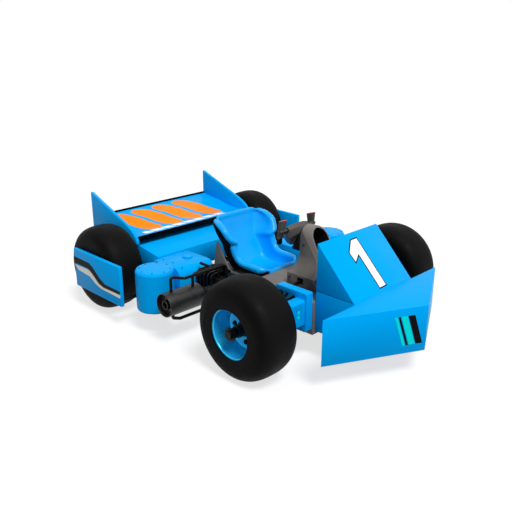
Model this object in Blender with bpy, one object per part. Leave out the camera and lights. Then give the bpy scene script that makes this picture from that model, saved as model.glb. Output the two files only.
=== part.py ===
"""Racing kart with wings: a low single-seat circuit kart on four fat slick tyres.

Units are metres. +X points forward, +Y to the driver's left, +Z up. The origin
is on the ground, at the middle of the overall length and width.
"""
import math

import bmesh
import bpy
from mathutils import Matrix, Vector

# Overall layout
wheelbase = 1.186
front_overhang = 0.598
rear_overhang = 0.335
front_half_track = 0.594
rear_half_track = 0.589
ground_clearance = 0.131
touch_gap = 0.0003
running_gap = 0.006
cut_overrun = 0.010

# Tyres and wheels
front_tyre_radius = 0.250
rear_tyre_radius = 0.247
front_tyre_half_width = 0.122
rear_tyre_half_width = 0.117
tyre_section_centre_share = 0.6
tyre_section_power = 2.56
tyre_section_swing = math.radians(99)
tyre_section_points = 9
tyre_bead_beyond_lip = 0.003
wheel_segments = 24
rim_lip_radius = 0.132
rim_lip_offset = 0.108
rim_lip_width = 0.006
rim_barrel_radius = 0.124
rim_wall = 0.006
rim_disc_thickness = 0.008
rim_disc_offset = -0.030
pin_gap = 0.001
hub_flange_radius = 0.052
hub_flange_thickness = 0.010
hub_barrel_radius = 0.026
front_hub_beyond_kingpin = 0.037
front_hub_outer_offset = 0.0225
rear_hub_inner_offset = -0.100
rear_hub_outer_offset = 0.006
rear_axle_beyond_wheel = 0.010
stub_axle_radius = 0.0125
stub_axle_beyond_wheel = 0.030
stub_shoulder_radius = 0.0185
stub_shoulder_length = 0.034
wheel_nut_radius = 0.019
wheel_nut_length = 0.0135
wheel_nut_gap = 0.002

# Front suspension and steering
deck_height = 0.312
kingpin_half_spacing = 0.440
kingpin_radius = 0.010
kingpin_beyond_boss = 0.010
kingpin_boss_radius = 0.020
kingpin_boss_height = 0.070
arm_boss_height = 0.018
arm_radius = 0.007
arm_rear_offset = -0.009
arm_front_offset = 0.036
arm_apex_share = 0.25
arm_apex_inset = 0.008
arm_upper_height = 0.333
arm_lower_height = 0.190
steering_arm_length = 0.055
steering_arm_radius = 0.009
steering_arm_root_height = 0.012
steering_eye_radius = 0.012
steering_eye_half_height = 0.010
steering_pin_radius = 0.006
steering_post_height = 0.038
ball_rest_share = 0.7
tie_rod_radius = 0.008
tie_rod_end_radius = 0.011
tie_rod_below_deck = 0.012
tie_rod_outer_height = deck_height - tie_rod_below_deck
tie_rod_outer_inset = 0.004
tie_rod_passage_radius = 0.019
tie_rod_clearance = 0.003
pitman_length = 0.038
pitman_arm_radius = 0.007
pitman_eye_radius = 0.008
pitman_eye_half_width = 0.009
column_radius = 0.011
column_segments = 16
column_tilt = math.radians(31.0)
column_into_hub = 0.010
column_beyond_pitman = 0.014
column_bore_length = 0.350
yoke_above_deck = 0.208
yoke_centre_height = deck_height + yoke_above_deck
yoke_behind_front_axle = 0.232
yoke_hub_half_width = 0.0425
yoke_hub_top = 0.066
yoke_hub_bottom = 0.060
yoke_hub_rear = 0.034
yoke_hub_front = 0.030
yoke_hub_front_share = 0.6
yoke_hub_edge = 0.006
yoke_hub_shares = [(0.66, -1.0), (1.0, -0.45), (1.0, 0.5), (0.7, 1.0)]
yoke_bar_height = 0.046
yoke_bar_behind = 0.010
yoke_bar_depth = 0.016
yoke_bar_width = 0.022
yoke_bar_corner = 0.006
yoke_bar_half_length = 0.138
grip_half_spacing = 0.127
grip_lean = 0.014
grip_forward = 0.010
grip_bottom = 0.010
grip_height = 0.092
grip_width = 0.030
grip_depth = 0.040
grip_corner = 0.008
grip_bottom_share = 0.72
grip_top_share = 1.1
grip_top_slope = 0.30
grip_foot_depth = 0.020
grip_foot_width = 0.024
grip_foot_height = 0.032
grip_foot_overlap = 0.002
housing_half_width = 0.045
housing_face_distance = 0.040
housing_above_yoke = 0.065
housing_face_drop = 0.052
housing_below_yoke = 0.065
housing_chamfer = 0.005

# Central hull
hull_front_ahead_of_axle = 0.119
hull_rear_from_front_axle = 0.698
hull_half_width_front = 0.257
hull_half_width_seat = 0.196
hull_taper_start = 0.281
hull_taper_end = 0.118
hull_chamfer = 0.008
seat_pan_below_deck = 0.050
seat_pan_height = deck_height - seat_pan_below_deck
seat_bay_height = seat_pan_height - touch_gap
seat_bay_margin = 0.020
cheek_thickness = 0.010
cheek_above_deck = 0.120
cheek_top_height = deck_height + cheek_above_deck
cheek_rear_inset = 0.012
cheek_length = 0.140
cheek_top_rear_inset = 0.030
cheek_top_length = 0.006

# Steering tower
tower_rear_from_axle = 0.143
tower_front_ahead = 0.062
tower_base_half_width = 0.160
tower_neck_half_width = 0.064
tower_above_deck = 0.290
tower_top_height = deck_height + tower_above_deck
tower_wall = 0.010
tower_toe_height = 0.030
tower_crest_ahead = 0.045
tower_shoulder_ahead = 0.065
tower_shoulder_drop = 0.020
tower_crown_steps = 10
tower_flare_shares = [(1.0, 0.274), (0.74, 0.300), (0.47, 0.345), (0.25, 0.42), (0.10, 0.52), (0.03, 0.62)]
rod_window_rear_behind = 0.0745
rod_window_front_behind = 0.034
rod_window_bottom = 0.014
rod_window_top = 0.050

# Nose
fairing_half_width = 0.239
fairing_top_height = 0.608
fairing_bottom_height = 0.366
fairing_front_ahead = 0.3486
fairing_wall = 0.006
nose_box_bottom_height = 0.150
plough_back_ahead = 0.3547
plough_half_width = 0.4763
plough_top_height = 0.364
plough_bottom_height = 0.1322
plough_wall = 0.008
plough_web_overlap = 0.004

# Seat
seat_wall = 0.006
seat_backing_wall = 0.022
seat_lip_behind_front_axle = 0.336
seat_length = 0.370
seat_height = 0.290
seat_half_width = 0.186
seat_roll_radius = 0.009
seat_flank_steps = 4
seat_roll_steps = 3
backing_first_row = 4
backing_last_row = 8
# Each row, from the top of the back to the front lip: centre length, centre height,
# rim length, rim height, rim half width, floor half width.
seat_shares = [
    (1.04, 0.94, 1.0, 0.91, 0.78, 0.62),
    (1.03, 0.99, 0.98, 0.95, 0.80, 0.63),
    (1.0, 1.0, 0.96, 0.96, 0.82, 0.65),
    (0.99, 0.92, 0.82, 0.92, 0.97, 0.71),
    (0.97, 0.82, 0.71, 0.84, 1.0, 0.67),
    (0.94, 0.68, 0.64, 0.72, 0.96, 0.60),
    (0.90, 0.56, 0.59, 0.62, 0.87, 0.565),
    (0.875, 0.49, 0.60, 0.56, 0.785, 0.56),
    (0.835, 0.39, 0.595, 0.48, 0.81, 0.555),
    (0.76, 0.22, 0.555, 0.355, 0.805, 0.55),
    (0.66, 0.06, 0.49, 0.25, 0.79, 0.55),
    (0.525, 0.0, 0.39, 0.205, 0.78, 0.55),
    (0.28, 0.01, 0.24, 0.195, 0.765, 0.54),
    (0.105, 0.05, 0.10, 0.185, 0.735, 0.525),
    (0.015, 0.13, 0.02, 0.185, 0.70, 0.51),
    (-0.01, 0.17, -0.005, 0.19, 0.655, 0.485),
    (-0.04, 0.165, -0.03, 0.18, 0.63, 0.47),
    (-0.05, 0.125, -0.045, 0.14, 0.61, 0.46),
]

# Engine, silencer, guards and gear lever
engine_centre_behind_front_axle = 0.5065
engine_length = 0.220
engine_inner_half_spacing = 0.235
engine_outer_half_spacing = 0.385
engine_bottom_height = 0.140
engine_lug_height = 0.025
engine_lug_base = 0.002
engine_lug_length = 0.030
engine_lug_overlap = 0.020
engine_lug_shares = (0.18, 0.82)
crankcase_outer_half_spacing = 0.360
crankcase_top_height = 0.300
crankcase_corner = 0.006
fin_count = 5
fin_pitch = 0.029
fin_thickness = 0.009
fin_depth = 0.018
fin_top_height = 0.322
fin_corner = 0.030
fin_inner_inset = 0.002
core_corner = 0.012
exhaust_port_radius = 0.026
exhaust_port_depth = 0.045
silencer_behind_front_axle = 0.4996
silencer_height = 0.2365
silencer_radius = 0.0636
silencer_outer_half_spacing = 0.700
silencer_length = 0.229
silencer_cone_length = 0.040
silencer_shoulder = 0.004
silencer_shoulder_length = 0.006
silencer_lip = 0.005
silencer_lip_edge = 0.002
silencer_end_recess = 0.030
silencer_segments = 24
exhaust_radius = 0.022
outlet_radius = 0.024
outlet_bore_radius = 0.020
outlet_inset = 0.006
outlet_bore_depth = 0.060
guard_upper_radius = 0.008
guard_outer_over_inner = 0.006
guard_leg_inset = 0.050
guard_kink_inset = 0.074
guard_turn_inset = 0.102
guard_forward = 0.048
guard_foot_half_spacing = 0.310
guard_bend_radius = 0.026
guard_inner_ahead = 0.018
guard_inner_inset = 0.179
guard_inner_over_lever = 0.021
guard_inner_foot_half_spacing = 0.300
guard_brace_radius = 0.006
guard_brace_half_spacing = 0.410
guard_lower_radius = 0.009
guard_lower_height = 0.134
guard_lower_leg_inset = 0.055
guard_lower_leg_height = 0.150
guard_lower_turn_inset = 0.100
guard_lower_rise = 0.055
guard_lower_landing = 0.020
guard_lower_joint_height = 0.180
lever_radius = 0.008
lever_behind_front_axle = 0.4735
lever_half_spacing = 0.345
lever_above_fins = 0.023
lever_height = fin_top_height + lever_above_fins
guard_inner_height = lever_height + guard_inner_over_lever
guard_upper_height = guard_inner_height + guard_outer_over_inner
lever_length = 0.151
lever_bend_radius = 0.014

# Side tanks and cylinder pods
tank_length = 0.269
tank_inner_half_spacing = 0.240
tank_bottom_height = 0.1623
tank_top_height = 0.337
tank_corner_radius = 0.050
tank_centre_behind_pod = 0.0493
outrigger_thickness = 0.020
outrigger_length = 0.080
outrigger_reach = 0.120
outrigger_behind_hull = 0.035
right_module_behind_front_axle = 0.7187
left_module_behind_front_axle = 0.478
pod_radius = 0.106
pod_half_spacing = 0.590
pod_bottom_height = 0.126
pod_top_height = 0.3545
pod_bottom_edge = 0.005
pod_lid_height = 0.022
pod_lid_chamfer = 0.008
pod_lid_chamfer_width = 0.0128
pod_groove_width = 0.003
pod_groove_depth = 0.002
pod_segments = 24
filler_cap_radius = 0.028
filler_cap_height = 0.010
filler_cap_edge = 0.003
filler_cap_outward = 0.080
filler_cap_segments = 20

# Rear end
rear_axle_radius = 0.020
axle_segments = 16
rail_half_spacing = 0.150
rail_radius = 0.016
rail_height = 0.158
rail_behind_axle = 0.090
rail_cross_radius = 0.0128
cover_post_radius = 0.008
cover_post_ahead = 0.200
cover_post_behind = 0.120
cover_post_gap = 0.0015
tail_strut_inset = 0.010
tail_strut_rise = 0.060
tail_strut_overlap = 0.005
bearing_outer_radius = 0.040
bearing_width = 0.030
bearing_lip = 0.002
bearing_block_half_length = 0.024
bearing_block_drop = 0.004
brake_disc_radius = 0.095
brake_disc_thickness = 0.008
brake_disc_offset = 0.050
brake_hub_radius = 0.036
brake_hub_inner = 0.012
brake_hub_outer = 0.020
cover_half_width = 0.425
cover_front_ahead_of_rear_axle = 0.278
cover_rear_behind_rear_axle = 0.190
cover_front_height = 0.3295
cover_slope = 0.1435
cover_skirt_height = 0.200
cover_wall = 0.005
wing_half_span = 0.446
wing_front_ahead_of_rear_axle = 0.108
wing_rear_behind_rear_axle = 0.332
wing_front_height = 0.415
wing_rear_height = 0.452
wing_nose_thickness = 0.029
wing_tail_thickness = 0.004
wing_dip = 0.013
wing_dip_share = 0.62
wing_rise_power = 1.7
wing_taper_power = 0.8
wing_steps = 8
gurney_height = 0.012
gurney_thickness = 0.003
gurney_foot = 0.003
gurney_overlap = 0.001
wing_mount_half_spacing = 0.300
wing_mount_front = 0.040
wing_mount_rear = 0.110
wing_mount_thickness = 0.008
wing_mount_overlap = 0.003
end_plate_thickness = 0.020
end_plate_ahead_of_wing = 0.0265
end_plate_top_height = 0.615
end_plate_bottom_height = 0.378
end_plate_corner_height = 0.442
end_plate_curve_share = 0.27
end_plate_curve_steps = 6
side_guard_gap = 0.007
side_guard_inner_half_spacing = rear_half_track + rear_tyre_half_width + side_guard_gap
side_guard_thickness = 0.022
side_guard_edge = 0.004
side_guard_rear_behind_rear_axle = 0.123
side_guard_front_ahead_of_rear_axle = 0.345
side_guard_bottom_height = 0.1305
side_guard_top_height = 0.3633
side_bar_radius = 0.012
side_bar_ahead_of_rear_axle = 0.300
side_bar_height = 0.150

# Front side plates with lamps
plate_inner_half_spacing = 0.2573
plate_thickness = 0.0475
plate_front_ahead = 0.1146
plate_rear_behind = 0.088
plate_bottom_height = 0.160
plate_above_deck = 0.052
plate_top_height = deck_height + plate_above_deck
plate_corner = 0.010
lamp_box_front_ahead = 0.105
lamp_box_length = 0.056
lamp_box_depth = 0.096
lamp_box_bottom_height = 0.200
lamp_box_top_height = 0.330
lamp_box_edge = 0.008
lamp_box_overlap = 0.002
lamp_box_wall = 0.006
lamp_outward = 0.0435
lamp_radius = 0.0095
lamp_spacing = 0.026
lamp_centre_height = 0.2655
lamp_frame = 0.004
lamp_back_thickness = 0.010
lamp_stand_out = 0.001

# Pedals
pedal_half_spacing = 0.110
pedal_ahead = 0.190
pedal_height = 0.090
pedal_width = 0.050
pedal_thickness = 0.008
pedal_base_length = 0.030
pedal_base_thickness = 0.008
pedal_root_inset = 0.002
pedal_root_height = 0.018
pedal_neck_ahead = 0.010
pedal_lean = 0.012

# Places that follow from the layout
overall_length = wheelbase + front_overhang + rear_overhang
front_axle_x = overall_length / 2 - front_overhang
rear_axle_x = front_axle_x - wheelbase
hull_front_x = front_axle_x + hull_front_ahead_of_axle
hull_rear_x = front_axle_x - hull_rear_from_front_axle
nose_rear_x = hull_front_x + touch_gap
yoke_x = front_axle_x - yoke_behind_front_axle
column_direction = Vector((math.cos(column_tilt), 0.0, -math.sin(column_tilt)))
silencer_x = front_axle_x - silencer_behind_front_axle


def srgb(red, green, blue):
    """Linear colour of an 8-bit sRGB one."""
    def channel(value):
        share = value / 255
        return share / 12.92 if share <= 0.04045 else ((share + 0.055) / 1.055) ** 2.4
    return (channel(red), channel(green), channel(blue), 1.0)


def material(name, colour, roughness, metallic=0.0):
    found = bpy.data.materials.get(name)
    if found:
        return found
    made = bpy.data.materials.new(name)
    made.use_nodes = True
    shader = made.node_tree.nodes["Principled BSDF"]
    shader.inputs["Base Color"].default_value = colour
    shader.inputs["Roughness"].default_value = roughness
    shader.inputs["Metallic"].default_value = metallic
    return made


def blue_paint():
    return material("blue_paint", srgb(0, 165, 245), 0.35)


def grey_composite():
    return material("grey_composite", srgb(110, 105, 102), 0.55)


def black_metal():
    return material("black_metal", srgb(28, 28, 28), 0.45, 0.6)


def black_rubber():
    return material("black_rubber", srgb(30, 30, 30), 0.85)


def dark_steel():
    return material("dark_steel", srgb(78, 78, 76), 0.35, 0.8)


def lamp_glass():
    return material("lamp_glass", srgb(0, 240, 245), 0.15)


def clear_scene():
    for old in list(bpy.data.objects):
        bpy.data.objects.remove(old, do_unlink=True)


def place(name, mesh_data, finish, parent=None, smooth_angle=math.radians(35)):
    obj = bpy.data.objects.new(name, mesh_data)
    bpy.context.scene.collection.objects.link(obj)
    mesh_data.shade_smooth()
    mesh_data.set_sharp_from_angle(angle=smooth_angle)
    obj.data.materials.append(finish)
    if parent:
        obj.parent = parent
    return obj


def to_mesh(name, bm):
    bmesh.ops.recalc_face_normals(bm, faces=bm.faces)
    mesh_data = bpy.data.meshes.new(name)
    bm.to_mesh(mesh_data)
    bm.free()
    return mesh_data


def prism(outline, start, end, axis="Y"):
    """A closed prism: outline points in the other two axes, extruded along one axis."""
    def point(u, v, w):
        if axis == "X":
            return (w, u, v)
        if axis == "Y":
            return (u, w, v)
        return (u, v, w)
    bm = bmesh.new()
    ring = [bm.verts.new(point(u, v, start)) for u, v in outline]
    face = bm.faces.new(ring)
    made = bmesh.ops.extrude_face_region(bm, geom=[face])
    moved = [item for item in made["geom"] if isinstance(item, bmesh.types.BMVert)]
    shift = Vector(point(0.0, 0.0, end)) - Vector(point(0.0, 0.0, start))
    bmesh.ops.translate(bm, verts=moved, vec=shift)
    return bm


def block(low, high):
    return prism([(low[0], low[2]), (high[0], low[2]), (high[0], high[2]), (low[0], high[2])],
                 low[1], high[1])


def rod(start, end, radius, segments=16):
    """A round bar between two points."""
    start, end = Vector(start), Vector(end)
    length = (end - start).length
    turn = (end - start).to_track_quat("Z", "Y").to_matrix().to_4x4()
    bm = bmesh.new()
    bmesh.ops.create_cone(bm, cap_ends=True, segments=segments, radius1=radius, radius2=radius,
                          depth=length, matrix=Matrix.Translation((start + end) / 2) @ turn)
    return bm


def revolve(profile, segments):
    """Turns (radius, height along Y) points about the Y axis into a closed ring or disc."""
    bm = bmesh.new()
    rings = []
    for radius, along in profile:
        if radius < touch_gap:
            rings.append([bm.verts.new((0.0, along, 0.0))])
            continue
        ring = []
        for index in range(segments):
            angle = 2 * math.pi * (index + 0.5) / segments
            ring.append(bm.verts.new((radius * math.cos(angle), along, radius * math.sin(angle))))
        rings.append(ring)
    count = len(rings)
    for here in range(count):
        first, second = rings[here], rings[(here + 1) % count]
        if len(first) == 1 and len(second) == 1:
            continue
        for index in range(segments):
            after = (index + 1) % segments
            if len(first) == 1:
                bm.faces.new((first[0], second[index], second[after]))
            elif len(second) == 1:
                bm.faces.new((first[index], first[after], second[0]))
            else:
                bm.faces.new((first[index], first[after], second[after], second[index]))
    return bm


def sweep(points, radius, segments=8):
    """A round tube through points, with flat ends."""
    path = [Vector(point) for point in points]
    tangents = []
    for index in range(len(path)):
        before = path[max(index - 1, 0)]
        after = path[min(index + 1, len(path) - 1)]
        tangents.append((after - before).normalized())
    side = tangents[0].orthogonal().normalized()
    bm = bmesh.new()
    rings = []
    for point, tangent in zip(path, tangents):
        side = (side - side.dot(tangent) * tangent).normalized()
        up = tangent.cross(side)
        rings.append([bm.verts.new(point + radius * (math.cos(a) * side + math.sin(a) * up))
                      for a in (2 * math.pi * k / segments for k in range(segments))])
    for first, second in zip(rings, rings[1:]):
        for index in range(segments):
            after = (index + 1) % segments
            bm.faces.new((first[index], first[after], second[after], second[index]))
    bm.faces.new(rings[0])
    bm.faces.new(rings[-1])
    return bm


def curve(start, control, end, steps):
    """Points of a quadratic curve from start to end, drawn towards the control point."""
    points = []
    for step in range(steps + 1):
        share = step / steps
        points.append((1 - share) ** 2 * start + 2 * share * (1 - share) * control + share ** 2 * end)
    return points


def bend(corners, radius, steps=3):
    """Rounds the inner corners of a path of points with curves of about one radius."""
    corners = [Vector(corner) for corner in corners]
    path = [corners[0]]
    for before, here, after in zip(corners, corners[1:], corners[2:]):
        into = (here - before).normalized()
        out = (after - here).normalized()
        cut = min(radius * math.tan(into.angle(out) / 2), (here - before).length / 2, (after - here).length / 2)
        path += curve(here - into * cut, here, here + out * cut, steps)
    path.append(corners[-1])
    return path


def arc(centre_u, centre_v, radius, start, end, steps):
    """Points of an arc in the outline's plane, angles in degrees."""
    return [(centre_u + radius * math.cos(math.radians(start + (end - start) * k / steps)),
             centre_v + radius * math.sin(math.radians(start + (end - start) * k / steps)))
            for k in range(steps + 1)]


def rounded_rectangle(low_u, low_v, high_u, high_v, radius, steps=4):
    return (arc(high_u - radius, high_v - radius, radius, 0, 90, steps)
            + arc(low_u + radius, high_v - radius, radius, 90, 180, steps)
            + arc(low_u + radius, low_v + radius, radius, 180, 270, steps)
            + arc(high_u - radius, low_v + radius, radius, 270, 360, steps))


def bevel_edges(bm, width, segments, chosen):
    edges = [edge for edge in bm.edges if chosen(edge)]
    bmesh.ops.bevel(bm, geom=edges, offset=width, offset_type="OFFSET", segments=segments,
                    profile=0.5, affect="EDGES", clamp_overlap=True)
    return bm


def solid(bm, name="cutter"):
    """A loose object of a bmesh, used as one operand of a boolean."""
    obj = bpy.data.objects.new(name, to_mesh(name, bm))
    bpy.context.scene.collection.objects.link(obj)
    return obj


def combine(base, others, operation):
    """Applies exact booleans to a loose object and removes the other operands."""
    for other in others:
        modifier = base.modifiers.new(operation.lower(), "BOOLEAN")
        modifier.operation = operation
        modifier.solver = "EXACT"
        modifier.object = other
        depsgraph = bpy.context.evaluated_depsgraph_get()
        result = bpy.data.meshes.new_from_object(base.evaluated_get(depsgraph))
        base.modifiers.clear()
        base.data = result
        bpy.data.objects.remove(other, do_unlink=True)
    return base


def finish(base, name, paint, parent=None):
    """Turns a loose boolean object into the named sub-part."""
    mesh_data = base.data
    mesh_data.materials.clear()
    bpy.data.objects.remove(base, do_unlink=True)
    mesh_data.name = name
    return place(name, mesh_data, paint, parent)


def union(name, pieces, paint, parent=None, cuts=()):
    base = solid(pieces[0])
    combine(base, [solid(piece) for piece in pieces[1:]], "UNION")
    combine(base, [solid(cut) for cut in cuts], "DIFFERENCE")
    return finish(base, name, paint, parent)


def move(bm, vector):
    bmesh.ops.translate(bm, verts=bm.verts, vec=Vector(vector))
    return bm


def side_name(side):
    return "left" if side > 0 else "right"


def joint_empty(name, location, parent=None):
    """A hinge: the pieces of a moving body hang on it."""
    empty = bpy.data.objects.new(name, None)
    empty.location = location
    bpy.context.scene.collection.objects.link(empty)
    if parent:
        empty.parent = parent
        empty.matrix_parent_inverse = parent.matrix_world.inverted()
    bpy.context.view_layer.update()
    return empty


def x_from_front(distance):
    return front_axle_x + distance


def x_from_rear(distance):
    return rear_axle_x + distance


def bearing_bore_radius(shaft_radius, segments):
    """Radius of a faceted bore in which a faceted shaft turns freely."""
    return (shaft_radius + touch_gap) / math.cos(math.pi / segments)


def column_bore():
    """The cut for the steering column, from the yoke to beyond the pitman arm."""
    start = Vector((yoke_x, 0.0, yoke_centre_height))
    return rod(start, start + column_direction * column_bore_length,
               bearing_bore_radius(column_radius, column_segments), column_segments)


# Hull, tower and nose

def build_hull():
    taper_start_x = x_from_front(-hull_taper_start)
    plan_half = [(hull_rear_x, hull_half_width_seat), (taper_start_x, hull_half_width_seat),
                 (x_from_front(-hull_taper_end), hull_half_width_front), (hull_front_x, hull_half_width_front)]
    plan = plan_half + [(x, -y) for x, y in reversed(plan_half)]
    body = prism(plan, ground_clearance, deck_height, "Z")
    body = bevel_edges(body, hull_chamfer, 1, lambda edge: all(
        abs(vert.co.z - deck_height) < touch_gap for vert in edge.verts))
    bay = block((hull_rear_x - cut_overrun, -hull_half_width_front, seat_bay_height),
                (taper_start_x - seat_bay_margin, hull_half_width_front, deck_height + cut_overrun))
    base = solid(body)
    combine(base, [solid(bay)], "DIFFERENCE")
    rear_x = hull_rear_x + cheek_rear_inset
    front_x = rear_x + cheek_length
    top_rear_x = rear_x + cheek_top_rear_inset
    outline = [(rear_x, seat_bay_height - hull_chamfer), (front_x, seat_bay_height - hull_chamfer),
               (front_x, seat_bay_height + hull_chamfer), (top_rear_x + cheek_top_length, cheek_top_height),
               (top_rear_x, cheek_top_height)]
    pieces = []
    for side in (1, -1):
        low, high = sorted((side * (hull_half_width_seat - cheek_thickness), side * hull_half_width_seat))
        pieces.append(prism(outline, low, high))
    top = tank_bottom_height - touch_gap
    for side, behind in ((-1, right_module_behind_front_axle), (1, left_module_behind_front_axle)):
        middle_x = max(x_from_front(-behind - tank_centre_behind_pod),
                       hull_rear_x + outrigger_length / 2 - outrigger_behind_hull)
        low, high = sorted((side * (hull_half_width_seat - cut_overrun),
                            side * (tank_inner_half_spacing + outrigger_reach)))
        pieces.append(block((middle_x - outrigger_length / 2, low, top - outrigger_thickness),
                            (middle_x + outrigger_length / 2, high, top)))
    combine(base, [solid(piece) for piece in pieces], "UNION")
    finish(base, "hull", grey_composite())


def tower_outline(inset):
    """Bell-shaped front view of the tower: half widths at heights, then a round top."""
    neck = tower_neck_half_width - inset
    base = tower_base_half_width - inset
    foot = deck_height + touch_gap
    top_centre = tower_top_height - tower_neck_half_width
    right = [(base, foot)]
    for width_share, height_share in tower_flare_shares:
        right.append((neck + (base - neck) * width_share, foot + (top_centre - foot) * height_share - inset))
    crown = arc(0.0, top_centre, neck, 0, 180, tower_crown_steps)
    return right + crown + [(-u, v) for u, v in reversed(right)]


def build_tower():
    rear_x = x_from_front(-tower_rear_from_axle)
    front_x = x_from_front(tower_front_ahead)
    below = deck_height - cut_overrun
    above = tower_top_height + cut_overrun
    bell = solid(prism(tower_outline(0.0), rear_x, front_x, "X"))
    profile = [(rear_x - cut_overrun, below), (front_x, below), (front_x, deck_height + tower_toe_height),
               (rear_x + tower_shoulder_ahead, tower_top_height - tower_shoulder_drop),
               (rear_x + tower_crest_ahead, above), (rear_x - cut_overrun, above)]
    combine(bell, [solid(prism(profile, -hull_half_width_front, hull_half_width_front))], "INTERSECT")
    hollow = prism([(u, v if v > deck_height + tower_wall else below) for u, v in tower_outline(tower_wall)],
                   rear_x + tower_wall, front_x + cut_overrun, "X")
    window_reach = tower_base_half_width + cut_overrun
    window = block((x_from_front(-rod_window_rear_behind), -window_reach, deck_height + rod_window_bottom),
                   (x_from_front(-rod_window_front_behind), window_reach, deck_height + rod_window_top))
    combine(bell, [solid(hollow), solid(column_bore()), solid(window)], "DIFFERENCE")
    finish(bell, "steering_tower", grey_composite())


def housing_face_x(height):
    """The column housing's rear face, square to the column, at a height."""
    rise = (height - yoke_centre_height) * math.sin(column_tilt)
    return yoke_x + (housing_face_distance + rise) / math.cos(column_tilt)


def build_column_housing():
    """The wedge that carries the column between the yoke and the tower."""
    wall_x = x_from_front(-tower_rear_from_axle) - touch_gap
    top = yoke_centre_height + housing_above_yoke
    face_low = yoke_centre_height - housing_face_drop
    bottom = yoke_centre_height - housing_below_yoke
    outline = [(wall_x, top), (housing_face_x(top), top), (housing_face_x(face_low), face_low),
               (housing_face_x(face_low) + housing_chamfer, bottom), (wall_x, bottom)]
    wedge = prism(outline, -housing_half_width, housing_half_width)
    union("column_housing", [wedge], black_metal(), cuts=[column_bore()])


def build_nose():
    top_x = nose_rear_x
    front_x = x_from_front(fairing_front_ahead)
    outer = [(top_x, fairing_bottom_height + touch_gap), (front_x, fairing_bottom_height + touch_gap),
             (top_x, fairing_top_height)]
    slope = Vector((front_x - top_x, fairing_bottom_height - fairing_top_height)).normalized()
    drop = fairing_wall / slope.x
    inner = [(top_x - cut_overrun, fairing_bottom_height - cut_overrun),
             (front_x - drop * slope.x / -slope.y, fairing_bottom_height - cut_overrun),
             (top_x - cut_overrun, fairing_top_height - drop - cut_overrun * slope.y / slope.x)]
    shell = solid(prism(outer, -fairing_half_width, fairing_half_width))
    inside = solid(prism(inner, -(fairing_half_width - fairing_wall), fairing_half_width - fairing_wall))
    combine(shell, [inside], "DIFFERENCE")
    finish(shell, "nose_fairing", blue_paint())

    back_x = x_from_front(plough_back_ahead)
    box = block((nose_rear_x, -fairing_half_width, nose_box_bottom_height),
                (back_x - touch_gap, fairing_half_width, fairing_bottom_height))
    place("nose_box", to_mesh("nose_box", box), blue_paint())

    tip_x = x_from_front(front_overhang)
    outer = [(back_x, -plough_half_width), (tip_x, 0.0), (back_x, plough_half_width)]
    face_angle = math.atan2(plough_half_width, tip_x - back_x)
    tip_cut = plough_wall / math.sin(face_angle)
    side_cut = plough_wall / math.cos(face_angle)
    overrun_y = cut_overrun * plough_half_width / (tip_x - back_x)
    inner = [(back_x - cut_overrun, -(plough_half_width - side_cut + overrun_y)),
             (tip_x - tip_cut, 0.0),
             (back_x - cut_overrun, plough_half_width - side_cut + overrun_y)]
    wing = solid(prism(outer, plough_bottom_height, plough_top_height, "Z"))
    void = solid(prism(inner, plough_bottom_height - cut_overrun, plough_top_height - plough_wall, "Z"))
    combine(wing, [void], "DIFFERENCE")
    web = solid(block((back_x, -fairing_half_width, nose_box_bottom_height),
                      (back_x + plough_wall, fairing_half_width, plough_top_height - plough_web_overlap)))
    combine(wing, [web], "UNION")
    finish(wing, "front_wing", blue_paint())


# Seat

def seat_grid():
    """Sections of the seat: a flat floor, flanks curving up to a crest and a rolled rim."""
    grid = []
    for centre_length, centre_height, rim_length, rim_height, rim_width, floor_width in seat_shares:
        centre = Vector((x_from_front(-seat_lip_behind_front_axle - seat_length * centre_length), 0.0,
                         seat_pan_height + seat_height * centre_height))
        crest = Vector((x_from_front(-seat_lip_behind_front_axle - seat_length * rim_length), 0.0,
                        seat_pan_height + seat_height * rim_height))
        rise = crest - centre
        floor_half = seat_half_width * floor_width
        rim_half = seat_half_width * rim_width
        half = []
        for step in range(seat_flank_steps + 1):
            swing = math.pi / 2 * step / seat_flank_steps
            point = centre + rise * (1 - math.cos(swing))
            half.append((point, floor_half + (rim_half - floor_half) * math.sin(swing)))
        for step in range(1, seat_roll_steps + 1):
            swing = math.pi * step / seat_roll_steps
            point = crest + rise.normalized() * seat_roll_radius * math.sin(swing)
            half.append((point, rim_half + seat_roll_radius * (1 - math.cos(swing))))
        right = [Vector((point.x, -y, point.z)) for point, y in reversed(half)]
        left = [Vector((point.x, y, point.z)) for point, y in half]
        grid.append(right + [centre] + left)
    return grid


def shell_from_grid(grid, inner, outer):
    """A closed shell between two offsets from a grid of points."""
    rows, columns = len(grid), len(grid[0])
    normals = []
    for i in range(rows):
        line = []
        for j in range(columns):
            along = grid[min(i + 1, rows - 1)][j] - grid[max(i - 1, 0)][j]
            across = grid[i][min(j + 1, columns - 1)] - grid[i][max(j - 1, 0)]
            line.append(along.cross(across).normalized())
        normals.append(line)
    bm = bmesh.new()
    layers = []
    for offset in (inner, outer):
        layers.append([[bm.verts.new(grid[i][j] + normals[i][j] * offset) for j in range(columns)]
                       for i in range(rows)])
    for layer in layers:
        for i in range(rows - 1):
            for j in range(columns - 1):
                bm.faces.new((layer[i][j], layer[i][j + 1], layer[i + 1][j + 1], layer[i + 1][j]))
    border = ([(0, j) for j in range(columns)] + [(i, columns - 1) for i in range(1, rows)]
              + [(rows - 1, j) for j in range(columns - 2, -1, -1)] + [(i, 0) for i in range(rows - 2, 0, -1)])
    for here, after in zip(border, border[1:] + border[:1]):
        a, b = layers[0][here[0]][here[1]], layers[0][after[0]][after[1]]
        c, d = layers[1][after[0]][after[1]], layers[1][here[0]][here[1]]
        bm.faces.new((a, b, c, d))
    return bm


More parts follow.
